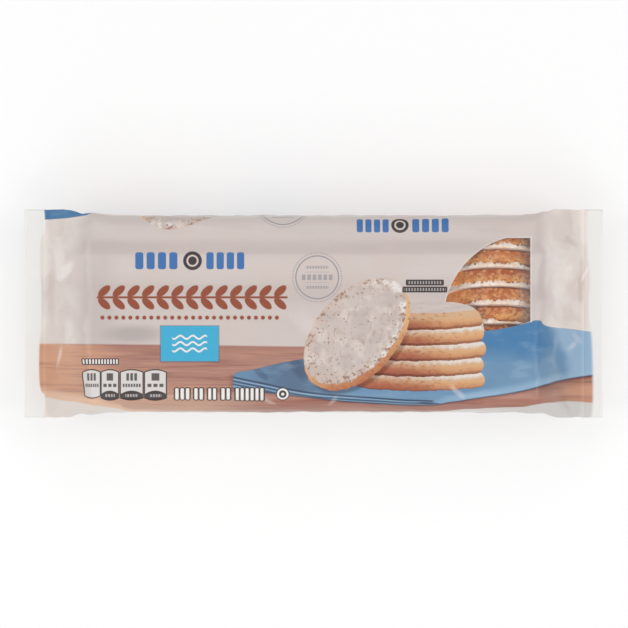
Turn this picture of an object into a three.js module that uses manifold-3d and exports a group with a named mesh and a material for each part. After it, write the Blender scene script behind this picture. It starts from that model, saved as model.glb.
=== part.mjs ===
// A flow-wrapped pack of iced oatmeal cookies, lying on its back with the printed front and its clear window
// upwards. The film is a tube drawn together at both ends into flat seals, with a gusset tucked in at each
// side, and six cookies of the leaning row behind the window show through it.
//
// Millimetres. +Z is up, out of the printed front. +X runs along the pack, and +Y towards the upper edge of
// the printed front. The origin is the middle of the flat back, on the surface that the pack rests on.

import * as THREE from "three";
import { ConvexGeometry } from "three/addons/geometries/ConvexGeometry.js";
import { mergeVertices } from "three/addons/utils/BufferGeometryUtils.js";
import Module from "manifold-3d";

const wasm = await Module();
wasm.setup();

// The wrapped pack, over the film.
const PACK_LENGTH = 267; // over both end seals
const PACK_DEPTH = 57; // back to front
const BODY_WIDTH = 91; // over the two long sides
const FRONT_CROWN = 0.6; // how far the front's middle stands above its folds

// The end seals, where the front and back films meet.
const SEAL_WIDTH = 96;
const SEAL_BREADTH = 8.5; // from the seal's inner line out to the cut edge
const SEAL_THICKNESS = 0.9;
const SEAL_LEVEL = 27; // height of the seal's middle above the back
const SEAL_MOUTH = 2.4; // how far apart the two films still are at the seal's inner line
const SEAL_STEP = 0.6; // length over which that mouth closes
const GUSSET_DEPTH = 20.5; // how far the tucked-in side reaches behind the seal

// Where the filled body ends and the film starts towards the seal, as distances from the pack's middle.
const FRONT_END = 104;
const TRAY_END = 107;
const FLARE_START = 92; // where the sides start to widen from the body's width to the seal's

// The creases along the body. The film lies on the cookies' rims between the two folds of the front. Beyond
// the upper fold it slopes over the first cookie to a shoulder, and at the lower one it turns straight down.
const UPPER_FOLD_Y = 33.5;
const UPPER_FOLD_AT_SEAL_Y = 28.7;
const UPPER_SHOULDER = { y: 44.6, z: 51 };
const LOWER_FOLD_Y = -39.5;
const LOWER_SHOULDER = { y: -45.3, z: 47 };
const BACK_EDGE_INSET = 3; // from the widest part of the body in to the back's edge

// How far each crease is rounded over the body. Towards the seals the film is drawn tight and they sharpen.
const ROUNDINGS = {
  gusset: 8,
  upperShoulder: 5,
  upperFold: 5,
  lowerFold: 4,
  lowerShoulder: 7,
  backEdge: 5,
};
const SHARPENING = 0.93; // share of the rounding that is gone at the seals
const ROUNDED_SHARE = 0.42; // the most of a face that the rounding at one of its ends takes up
const BEND_SHARE = 0.55; // how much of the film's way down to a seal is a smooth bend, not straight

// The film tube's mesh: points round each crease, and stations along one half of the pack.
const CREASE_STEPS = 3;
const BODY_STATIONS = [0, 30, 60, 78, FLARE_START, 97, 101];
const END_STEPS = 11;

// The row of cookies behind the window. Each leans with its upper rim towards +Y, iced face towards -Y.
const COOKIE_COUNT = 6;
const COOKIE_RADIUS = 26.8;
const COOKIE_PITCH_Y = 8.65; // from one cookie to the next, along the row
const COOKIE_LEAN = THREE.MathUtils.degToRad(14);
const ROW_X = 84;
const ROW_Z = 28.6;
const FIRST_ICED_RIM_Y = 29.9; // highest point of the first cookie's iced face
const BISCUIT_THICKNESS = 6.1;
const ICING_THICKNESS = 1.5;
const LAYER_GAP = 0.3; // between a biscuit and its icing
const RIM_ROUNDING = 2.5;
const ICING_INSET = 1.1; // the icing's outline stays this far inside the biscuit's
const COOKIE_FACETS = 32;
const RIM_STEPS = 2;
const MERGE_TOLERANCE = 1e-4;

// The cookies' uneven outlines: how deep they are, as a share of the radius, and how far each is turned on
// from the one before, in radians.
const BISCUIT_OUTLINE = { depth: 0.012, turn: 1.7, start: 0 };
const ICING_OUTLINE = { depth: 0.03, turn: 2.3, start: 1 };
const OUTLINE_WAVES = [
  { count: 3, height: 0.3, shift: 1 },
  { count: 7, height: 0.2, shift: -2 },
];

// The trough that the row lies in.
const TROUGH_CLEARANCE = 0.35;
const TROUGH_CHAMFER = 1.6;
const TROUGH_FACETS = 64;

// The clear window: a quarter of a disc with its corner low on the right, cut off flat along the top. The
// printed picture covers its lower left, along the outline of a stack of cookies and the upper edge of a
// cloth.
const WINDOW_CORNER = new THREE.Vector2(99.4, -3.6);
const WINDOW_RADIUS = 39.9;
const WINDOW_TOP_Y = 34.4;
const WINDOW_LEFT_TIP_Y = 5.2;
const STACK_EDGE = [[67.4, 4.8], [73, 3], [76.4, 0], [77.6, -3.8], [78.6, -8.1]];
const CLOTH_EDGE = [[88, -6.8], WINDOW_CORNER.toArray()];
const WINDOW_FLOOR_Z = 38; // the pack is open down to here under the window
const PANE_THICKNESS = 0.6;
const PANE_GAP = 0.3;
const WINDOW_ARC_STEPS = 6;

const FINISHES = {
  film: { color: 0xd2c7c3, roughness: 0.45 },
  pane: { color: 0xe8eef0, roughness: 0.15, transparent: true, opacity: 0.35 },
  biscuit: { color: 0xc68a5a, roughness: 0.85 },
  icing: { color: 0xf0e6da, roughness: 0.6 },
};

const { lerp, clamp, smoothstep } = THREE.MathUtils;
const SEAL_LINE = PACK_LENGTH / 2 - SEAL_BREADTH;
const HALF_BODY = BODY_WIDTH / 2;
const HALF_SEAL = SEAL_WIDTH / 2;
const COOKIE_THICKNESS = BISCUIT_THICKNESS + LAYER_GAP + ICING_THICKNESS;

// Plain solids for joining and cutting.

function toSolid(geometry) {
  const bare = geometry.clone();
  bare.deleteAttribute("normal");
  bare.deleteAttribute("uv");
  const merged = mergeVertices(bare, MERGE_TOLERANCE);
  return new wasm.Manifold(
    new wasm.Mesh({
      numProp: 3,
      vertProperties: new Float32Array(merged.attributes.position.array),
      triVerts: new Uint32Array(merged.index.array),
    }),
  );
}

function toGeometry(solid) {
  const mesh = solid.getMesh();
  const geometry = new THREE.BufferGeometry();
  geometry.setAttribute("position", new THREE.BufferAttribute(new Float32Array(mesh.vertProperties), 3));
  geometry.setIndex(new THREE.BufferAttribute(new Uint32Array(mesh.triVerts), 1));
  geometry.computeVertexNormals();
  return geometry;
}

// The film tube.

// How far a film that leaves the body at start has come towards the seal line, from 0 to 1. It rolls over the
// tray's edge, runs nearly straight and lands softly.
function runToSeal(distance, start) {
  const share = clamp((distance - start) / (SEAL_LINE - start), 0, 1);
  return lerp(share, smoothstep(share, 0, 1), BEND_SHARE);
}

// The creases of one cross-section, from the +Y side over the front to the -Y side and back under the pack.
// Each is { y, z, rounding }.
function creasesAt(distance) {
  const sealed = distance >= SEAL_LINE + SEAL_STEP;
  const front = runToSeal(distance, FRONT_END);
  const tray = runToSeal(distance, TRAY_END);
  const flare = smoothstep(distance, FLARE_START, SEAL_LINE);
  const tuck = clamp((distance - TRAY_END) / (SEAL_LINE - TRAY_END), 0, 1);
  const lip = (sealed ? SEAL_THICKNESS : SEAL_MOUTH) / 2;
  const gusset = sealed ? HALF_SEAL : lerp(HALF_BODY, HALF_SEAL - GUSSET_DEPTH, tuck);
  const soft = 1 - SHARPENING * tray;
  const high = (z) => lerp(z, SEAL_LEVEL + lip, front);
  const low = (z) => lerp(z, SEAL_LEVEL - lip, tray);
  const backEdge = lerp(HALF_BODY - BACK_EDGE_INSET, HALF_SEAL, tray);
  const upperFold = lerp(UPPER_FOLD_Y, UPPER_FOLD_AT_SEAL_Y, front);
  const foldZ = high(PACK_DEPTH - FRONT_CROWN);
  const upperShoulder = lerp(UPPER_SHOULDER.y, HALF_SEAL, flare);
  const lowerShoulder = lerp(LOWER_SHOULDER.y, -HALF_SEAL, flare);
  const creases = [
    { y: gusset, z: SEAL_LEVEL, rounding: ROUNDINGS.gusset },
    { y: upperShoulder, z: high(UPPER_SHOULDER.z), rounding: ROUNDINGS.upperShoulder },
    { y: upperFold, z: foldZ, rounding: ROUNDINGS.upperFold },
    { y: 0, z: high(PACK_DEPTH), rounding: 0 },
    { y: LOWER_FOLD_Y, z: foldZ, rounding: ROUNDINGS.lowerFold },
    { y: lowerShoulder, z: high(LOWER_SHOULDER.z), rounding: ROUNDINGS.lowerShoulder },
    { y: -gusset, z: SEAL_LEVEL, rounding: ROUNDINGS.gusset },
    { y: -backEdge, z: low(0), rounding: ROUNDINGS.backEdge },
    { y: 0, z: low(0), rounding: 0 },
    { y: backEdge, z: low(0), rounding: ROUNDINGS.backEdge },
  ];
  return creases.map(({ y, z, rounding }) => ({ y, z, rounding: rounding * soft }));
}

// The points of one cross-section: a short curve round every crease, and the middle of each face between two.
function sectionAt(distance) {
  const creases = creasesAt(distance);
  const corners = creases.map(({ y, z }) => new THREE.Vector2(y, z));
  const count = corners.length;
  return creases.flatMap(({ rounding }, i) => {
    const corner = corners[i];
    const next = corners[(i + 1) % count];
    const middle = corner.clone().lerp(next, 0.5);
    if (rounding === 0) {
      return [corner, middle];
    }
    const share = (other) => Math.min(rounding / corner.distanceTo(other), ROUNDED_SHARE);
    const towards = (other) => corner.clone().lerp(other, share(other));
    const before = towards(corners[(i + count - 1) % count]);
    const curve = new THREE.QuadraticBezierCurve(before, corner, towards(next));
    return [...curve.getPoints(CREASE_STEPS), middle];
  });
}

// Where the cross-sections stand along one half of the pack, from the middle outwards.
function stations() {
  const run = Array.from({ length: END_STEPS + 1 }, (_, i) => lerp(FRONT_END, SEAL_LINE, i / END_STEPS));
  const seal = [SEAL_LINE + SEAL_STEP, SEAL_LINE + SEAL_BREADTH / 2, SEAL_LINE + SEAL_BREADTH];
  return [...BODY_STATIONS, ...run, ...seal];
}

// A cylinder along X with one ring of points for each cross-section.
function filmTube() {
  const half = stations();
  const along = [...half.slice(1).reverse().map((x) => -x), ...half];
  const sections = along.map((x) => sectionAt(Math.abs(x)));
  const round = sections[0].length;
  const tube = new THREE.CylinderGeometry(1, 1, 1, round, along.length - 1);
  const position = tube.attributes.position;
  for (let i = 0; i < position.count; i++) {
    const across = new THREE.Vector2(position.getZ(i), position.getX(i));
    const ring = Math.round((position.getY(i) + 0.5) * (along.length - 1));
    if (across.length() < 0.5) {
      position.setXYZ(i, along[ring], 0, SEAL_LEVEL); // the middle of a cut end
      continue;
    }
    const turn = Math.round((across.angle() / (2 * Math.PI)) * round) % round;
    const { x: y, y: z } = sections[ring][turn];
    position.setXYZ(i, along[ring], y, z);
  }
  return tube;
}

// The cookies.

// A round slab about the Y axis with rounded rims, from bottom to top along Y. Its outline waves a little.
function roundSlab(radius, bottom, top, rounding, depth, phase) {
  const outer = Math.min(rounding, (top - bottom) / 2);
  const profile = new THREE.Path();
  profile.moveTo(0, bottom);
  profile.lineTo(radius - outer, bottom);
  profile.quadraticCurveTo(radius, bottom, radius, bottom + outer);
  profile.lineTo(radius, top - outer + 1e-3); // never back to the same point, however round the rim
  profile.quadraticCurveTo(radius, top, radius - outer, top);
  profile.lineTo(0, top);
  const slab = new THREE.LatheGeometry(profile.getPoints(RIM_STEPS), COOKIE_FACETS);
  const position = slab.attributes.position;
  for (let i = 0; i < position.count; i++) {
    const x = position.getX(i);
    const z = position.getZ(i);
    const turn = Math.atan2(z, x);
    const waveAt = ({ count, height, shift }) => height * Math.sin(count * turn + shift * phase);
    const swell = 1 - depth * OUTLINE_WAVES.reduce((sum, wave) => sum + waveAt(wave), 0.5);
    position.setX(i, x * swell);
    position.setZ(i, z * swell);
  }
  return slab;
}

// The middle of a cookie, from the highest point of its iced face.
function cookieCentre(index) {
  const icedRim = FIRST_ICED_RIM_Y - index * COOKIE_PITCH_Y;
  const half = COOKIE_THICKNESS / 2;
  const y = icedRim + half * Math.cos(COOKIE_LEAN) - COOKIE_RADIUS * Math.sin(COOKIE_LEAN);
  return new THREE.Vector3(ROW_X, y, ROW_Z);
}

function biscuit(index) {
  const top = COOKIE_THICKNESS / 2;
  const bottom = top - BISCUIT_THICKNESS;
  const { depth, turn, start } = BISCUIT_OUTLINE;
  return roundSlab(COOKIE_RADIUS, bottom, top, RIM_ROUNDING, depth, turn * index + start);
}

function icing(index) {
  const bottom = -COOKIE_THICKNESS / 2;
  const top = bottom + ICING_THICKNESS;
  const radius = COOKIE_RADIUS - ICING_INSET;
  const { depth, turn, start } = ICING_OUTLINE;
  return roundSlab(radius, bottom, top, ICING_THICKNESS / 2, depth, turn * index + start);
}

// The trough: the hull of the room for the first cookie and the room for the last.
function trough() {
  const half = COOKIE_THICKNESS / 2 + TROUGH_CLEARANCE;
  const radius = COOKIE_RADIUS + TROUGH_CLEARANCE;
  const profile = [
    new THREE.Vector2(0, -half),
    new THREE.Vector2(radius - TROUGH_CHAMFER, -half),
    new THREE.Vector2(radius, TROUGH_CHAMFER - half),
    new THREE.Vector2(radius, half - TROUGH_CHAMFER),
    new THREE.Vector2(radius - TROUGH_CHAMFER, half),
    new THREE.Vector2(0, half),
  ];
  const points = [0, COOKIE_COUNT - 1].flatMap((index) => {
    const room = new THREE.LatheGeometry(profile, TROUGH_FACETS);
    room.rotateX(-COOKIE_LEAN);
    room.translate(...cookieCentre(index).toArray());
    const { position } = room.attributes;
    const pointAt = (_, i) => new THREE.Vector3().fromBufferAttribute(position, i);
    return Array.from({ length: position.count }, pointAt);
  });
  return toSolid(new ConvexGeometry(points));
}

// The window.

// A column of the window's outline, grown outwards by grow, standing on WINDOW_FLOOR_Z.
function windowColumn(grow) {
  const radius = WINDOW_RADIUS + grow;
  const { x: right, y: low } = WINDOW_CORNER;
  const top = WINDOW_TOP_Y + grow;
  const arcStart = Math.PI - Math.asin((top - low) / radius);
  const arcEnd = Math.PI - Math.asin((WINDOW_LEFT_TIP_Y - grow - low) / radius);
  const outline = new THREE.Shape();
  outline.moveTo(right + grow, low - grow);
  outline.lineTo(right + grow, top);
  outline.absarc(right, low, radius, arcStart, arcEnd, false);
  outline.splineThru(STACK_EDGE.map(([x, y]) => new THREE.Vector2(x - grow, y - grow)));
  outline.splineThru(CLOTH_EDGE.map(([x, y]) => new THREE.Vector2(x + grow, y - grow)));
  outline.closePath();
  const column = new THREE.ExtrudeGeometry(outline, {
    depth: PACK_DEPTH,
    bevelEnabled: false,
    curveSegments: WINDOW_ARC_STEPS,
  });
  column.translate(0, 0, WINDOW_FLOOR_Z);
  return toSolid(column);
}

// The pack's parts.

function material(finish) {
  return new THREE.MeshStandardMaterial({ metalness: 0, ...finish });
}

function wrapMesh(tube) {
  const hollow = trough().add(windowColumn(0));
  const mesh = new THREE.Mesh(toGeometry(tube.subtract(hollow)), material(FINISHES.film));
  mesh.name = "film_wrap";
  return mesh;
}

function paneMesh(tube) {
  const under = tube.translate([0, 0, -PANE_THICKNESS]);
  const pane = tube.subtract(under).intersect(windowColumn(-PANE_GAP));
  const mesh = new THREE.Mesh(toGeometry(pane), material(FINISHES.pane));
  mesh.name = "window_film";
  return mesh;
}

function cookieMeshes(index) {
  const biscuitMesh = new THREE.Mesh(biscuit(index), material(FINISHES.biscuit));
  const icingMesh = new THREE.Mesh(icing(index), material(FINISHES.icing));
  biscuitMesh.name = `biscuit_${index + 1}`;
  icingMesh.name = `icing_${index + 1}`;
  const cookie = new THREE.Group();
  cookie.position.copy(cookieCentre(index));
  cookie.rotation.x = -COOKIE_LEAN;
  cookie.add(biscuitMesh, icingMesh);
  return cookie;
}

const tube = toSolid(filmTube());
const pack = new THREE.Group();
pack.add(wrapMesh(tube), paneMesh(tube));
for (let i = 0; i < COOKIE_COUNT; i++) {
  pack.add(cookieMeshes(i));
}

export default pack;
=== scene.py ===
"""A flow-wrapped pack of iced oatmeal cookies, lying on its back with the printed front and its window up.

Metres, in the frame of the construction model: +X runs along the pack, +Y towards the upper edge of the
printed front, and +Z out of it. The print is laid out in millimetres on the flat film: x along the pack, and
v round it, measured along the film from the middle of the front.
"""

import logging
import math
from dataclasses import dataclass, field
from enum import Enum
from typing import Iterable, Protocol, Sequence

import bpy
import numpy as np
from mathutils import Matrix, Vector, noise
from mathutils.geometry import delaunay_2d_cdt


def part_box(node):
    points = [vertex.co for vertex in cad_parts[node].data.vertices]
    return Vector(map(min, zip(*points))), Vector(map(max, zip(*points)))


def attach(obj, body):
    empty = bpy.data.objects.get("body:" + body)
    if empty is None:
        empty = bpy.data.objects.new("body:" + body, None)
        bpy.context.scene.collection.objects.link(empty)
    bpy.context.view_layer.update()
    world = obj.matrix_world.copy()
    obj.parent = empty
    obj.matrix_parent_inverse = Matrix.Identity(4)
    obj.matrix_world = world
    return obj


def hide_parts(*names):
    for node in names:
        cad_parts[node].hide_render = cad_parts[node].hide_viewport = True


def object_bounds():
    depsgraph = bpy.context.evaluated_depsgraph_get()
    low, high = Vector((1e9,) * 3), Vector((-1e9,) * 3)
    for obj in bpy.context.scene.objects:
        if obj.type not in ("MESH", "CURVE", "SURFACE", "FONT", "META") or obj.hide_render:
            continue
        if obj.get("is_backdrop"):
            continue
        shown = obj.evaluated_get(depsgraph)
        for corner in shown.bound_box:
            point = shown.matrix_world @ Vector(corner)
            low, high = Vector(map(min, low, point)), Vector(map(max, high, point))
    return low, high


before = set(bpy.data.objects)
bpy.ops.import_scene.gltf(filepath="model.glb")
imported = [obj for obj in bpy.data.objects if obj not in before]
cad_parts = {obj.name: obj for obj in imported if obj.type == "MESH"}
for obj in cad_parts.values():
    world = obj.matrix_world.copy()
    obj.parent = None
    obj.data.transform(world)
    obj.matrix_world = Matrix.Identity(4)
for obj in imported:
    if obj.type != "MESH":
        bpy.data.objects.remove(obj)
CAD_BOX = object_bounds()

LOG = logging.getLogger("cookie_pack")
MM = 0.001
PHOTO_PIXELS = 628
MM_PER_PIXEL = 0.46
PHOTO_CENTRE = (313.7, 313.5)  # the pixel at which the pack's middle shows

Point = tuple[float, float]
Array = np.ndarray
Material = bpy.types.Material
Socket = bpy.types.NodeSocket


# ---- Shader graphs ----


@dataclass(frozen=True)
class Rgb:
    """A colour as a screen shows it, in steps of 0 to 255."""

    red: float
    green: float
    blue: float

    def linear(self) -> tuple[float, float, float, float]:
        """Returns the colour as linear light, with an alpha of 1."""
        steps = (self.red, self.green, self.blue)
        return (*(((s / 255 + 0.055) / 1.055) ** 2.4 if s > 10 else s / 3295 for s in steps), 1.0)


class Value:
    """A number that varies over a surface: one output of a shader graph, with arithmetic."""

    def __init__(self, graph: "Graph", socket: Socket) -> None:
        """Wraps a socket of the graph."""
        self.graph = graph
        self.socket = socket

    def math(self, operation: str, *others: "Value | float", first: float | None = None) -> "Value":
        """Adds a Math node.

        Args:
            operation: The Math node's operation.
            others: What follows this value.
            first: What stands before this value, if anything.

        Returns:
            The node's result.
        """
        values = [self, *others] if first is None else [first, self, *others]
        made = self.graph.node("ShaderNodeMath", {"operation": operation}, dict(enumerate(values)))
        return Value(self.graph, made.outputs[0])

    def __add__(self, other: "Value | float") -> "Value":
        """Returns the sum."""
        return self.math("ADD", other)

    __radd__ = __add__

    def __sub__(self, other: "Value | float") -> "Value":
        """Returns the difference."""
        return self.math("SUBTRACT", other)

    def __rsub__(self, other: float) -> "Value":
        """Returns other minus this value."""
        return self.math("SUBTRACT", first=other)

    def __mul__(self, other: "Value | float") -> "Value":
        """Returns the product."""
        return self.math("MULTIPLY", other)

    __rmul__ = __mul__

    def __truediv__(self, other: "Value | float") -> "Value":
        """Returns the quotient."""
        return self.math("DIVIDE", other)

    def __abs__(self) -> "Value":
        """Returns the size of this value."""
        return self.math("ABSOLUTE")

    def least(self, other: "Value | float") -> "Value":
        """Returns the smaller of this value and other."""
        return self.math("MINIMUM", other)

    def most(self, other: "Value | float") -> "Value":
        """Returns the larger of this value and other."""
        return self.math("MAXIMUM", other)

    def sine(self) -> "Value":
        """Returns the sine of this value, in radians."""
        return self.math("SINE")

    def root(self) -> "Value":
        """Returns the square root."""
        return self.math("SQRT")

    def floor(self) -> "Value":
        """Returns the whole number below."""
        return self.math("FLOOR")

    def ramp(self, low: float, high: float) -> "Value":
        """Rises smoothly from 0 to 1, and is flat beyond.

        Args:
            low: Where the result is 0, which may be above high.
            high: Where the result is 1.

        Returns:
            The risen value.
        """
        settings = {"interpolation_type": "SMOOTHSTEP"}
        made = self.graph.node("ShaderNodeMapRange", settings, {0: self, 1: low, 2: high, 3: 0.0, 4: 1.0})
        return Value(self.graph, made.outputs[0])


class Paint:
    """A colour that varies over a surface, built up in layers: one colour output of a shader graph."""

    def __init__(self, graph: "Graph", source: "Socket | Rgb | Ink") -> None:
        """Wraps a colour socket, or starts from one plain colour."""
        self.graph = graph
        self.source = source

    def blend(self, mask: Value | float, other: "Paint | Rgb | Ink", mode: str = "MIX") -> "Paint":
        """Lays another colour over this one, with a Mix node.

        Args:
            mask: How much of other comes through, from 0 to 1.
            other: The colour laid over this one.
            mode: The Mix node's blend type.

        Returns:
            This colour, with the new layer on it.
        """
        settings = {"data_type": "RGBA", "blend_type": mode, "clamp_factor": True}
        made = self.graph.node("ShaderNodeMix", settings, {0: mask, 6: self, 7: other})
        self.source = made.outputs[2]
        return self


class Graph:
    """One material's nodes, with a Principled shader at its end."""

    def __init__(self, name: str, **constants: float | tuple) -> None:
        """Starts the material.

        Args:
            name: The material's name.
            constants: Values for the shader's own sockets, with underscores for the spaces of their names.
        """
        self.material = bpy.data.materials.new(name)
        self.material.use_nodes = True
        self.tree = self.material.node_tree
        self.shader = self.tree.nodes["Principled BSDF"]
        for key, value in constants.items():
            self.shader.inputs[key.replace("_", " ")].default_value = value

    def node(self, kind: str, settings: dict | None = None, inputs: dict | None = None) -> bpy.types.Node:
        """Adds any node.

        Args:
            kind: The node's type.
            settings: The node's own properties, set before its sockets.
            inputs: Values, colours or links for its sockets, by name or number.

        Returns:
            The new node.
        """
        made = self.tree.nodes.new(kind)
        for key, value in (settings or {}).items():
            setattr(made, key, value)
        for key, value in (inputs or {}).items():
            self.feed(made.inputs[key], value)
        return made

    def feed(self, socket: Socket, value: object) -> None:
        """Links or sets one socket.

        Args:
            socket: The socket of a node.
            value: A number, a vector, a colour, or what the socket is linked to.
        """
        if isinstance(value, Ink):
            value = value.value
        if isinstance(value, Rgb):
            socket.default_value = value.linear()
        elif isinstance(value, Paint):
            self.feed(socket, value.source)
        elif isinstance(value, Value):
            self.tree.links.new(value.socket, socket)
        elif isinstance(value, Socket):
            self.tree.links.new(value, socket)
        else:
            socket.default_value = value

    def finish(self, **varying: Value | Paint | Socket) -> Material:
        """Links what varies over the surface to the shader.

        Args:
            varying: Links for the shader's sockets, named in the same way.

        Returns:
            The finished material.
        """
        for key, value in varying.items():
            self.feed(self.shader.inputs[key.replace("_", " ")], value)
        return self.material

    def place(self, scale: Sequence[float] = (1, 1, 1)) -> Socket:
        """Returns the object's coordinates, in metres, stretched by scale."""
        return self.stretch(self.node("ShaderNodeTexCoord").outputs["Object"], scale)

    def stretch(self, vector: Socket, scale: Sequence[float]) -> Socket:
        """Returns a vector with each of its parts multiplied by scale."""
        return self.node("ShaderNodeVectorMath", {"operation": "MULTIPLY"}, {0: vector, 1: scale}).outputs[0]

    def noise(self, vector: Socket, scale: float, detail: float = 2.0, rough: float = 0.5) -> Value:
        """Returns smooth noise about 0.5, with scale as its waves in one unit of vector."""
        sockets = {"Vector": vector, "Scale": scale, "Detail": detail, "Roughness": rough}
        return Value(self, self.node("ShaderNodeTexNoise", None, sockets).outputs[0])

    def speckle(self, vector: Socket, scale: float) -> Value:
        """Returns the distance to the nearest of many scattered points, in cells."""
        sockets = {"Vector": vector, "Scale": scale}
        return Value(self, self.node("ShaderNodeTexVoronoi", None, sockets).outputs["Distance"])

    def attribute(self, name: str) -> Value:
        """Returns a number that the mesh holds at its points."""
        return Value(self, self.node("ShaderNodeAttribute", {"attribute_name": name}).outputs["Fac"])

    def bump(self, height: Value, distance: float, strength: float = 1.0) -> Socket:
        """Returns a normal with the height's relief, which is distance deep in metres."""
        sockets = {"Strength": strength, "Distance": distance, "Height": height}
        return self.node("ShaderNodeBump", None, sockets).outputs[0]


# ---- The flat film and what is printed on it ----


class Ink(Enum):
    """The colours of the print, and of the painted light and shade laid over it."""

    CREAM = Rgb(208, 197, 192)
    CREAM_LIGHT = Rgb(231, 220, 213)
    CREAM_DUSK = Rgb(191, 179, 175)
    CREAM_ROSE = Rgb(206, 188, 182)
    CREAM_SHADE = Rgb(176, 166, 163)
    PALE_SIDE = Rgb(226, 216, 209)
    PALE_COOL = Rgb(209, 205, 202)
    SHEEN = Rgb(246, 238, 233)
    WOOD = Rgb(172, 128, 114)
    WOOD_LIGHT = Rgb(224, 169, 134)
    WOOD_PALE = Rgb(226, 188, 162)
    WOOD_DARK = Rgb(152, 103, 92)
    CLOTH = Rgb(112, 146, 175)
    CLOTH_DEEP = Rgb(72, 123, 167)
    CLOTH_PALE = Rgb(158, 187, 211)
    CLOTH_LEAF = Rgb(92, 113, 139)
    CLOTH_FOLD = Rgb(60, 74, 98)
    LABEL = Rgb(66, 170, 206)
    BLUE = Rgb(66, 112, 170)
    BROWN = Rgb(146, 78, 56)
    GREY = Rgb(150, 147, 150)
    DARK = Rgb(66, 57, 56)
    WHITE = Rgb(232, 227, 223)
    TABLET = Rgb(214, 209, 206)
    ICED = Rgb(201, 188, 182)
    ICED_LIGHT = Rgb(216, 204, 196)
    ICED_GREY = Rgb(188, 176, 171)
    OAT = Rgb(176, 156, 140)
    TOASTED = Rgb(207, 180, 166)
    CRUMB = Rgb(146, 98, 80)
    BAKED = Rgb(196, 145, 104)
    BAKED_DEEP = Rgb(178, 104, 74)
    BAKED_PALE = Rgb(219, 173, 127)
    BAKED_TOP = Rgb(204, 174, 142)
    BAKED_GOLD = Rgb(194, 138, 94)
    GAP = Rgb(116, 62, 48)
    RUSSET = Rgb(158, 88, 68)
    UNPRINTED = Rgb(236, 235, 232)


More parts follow.
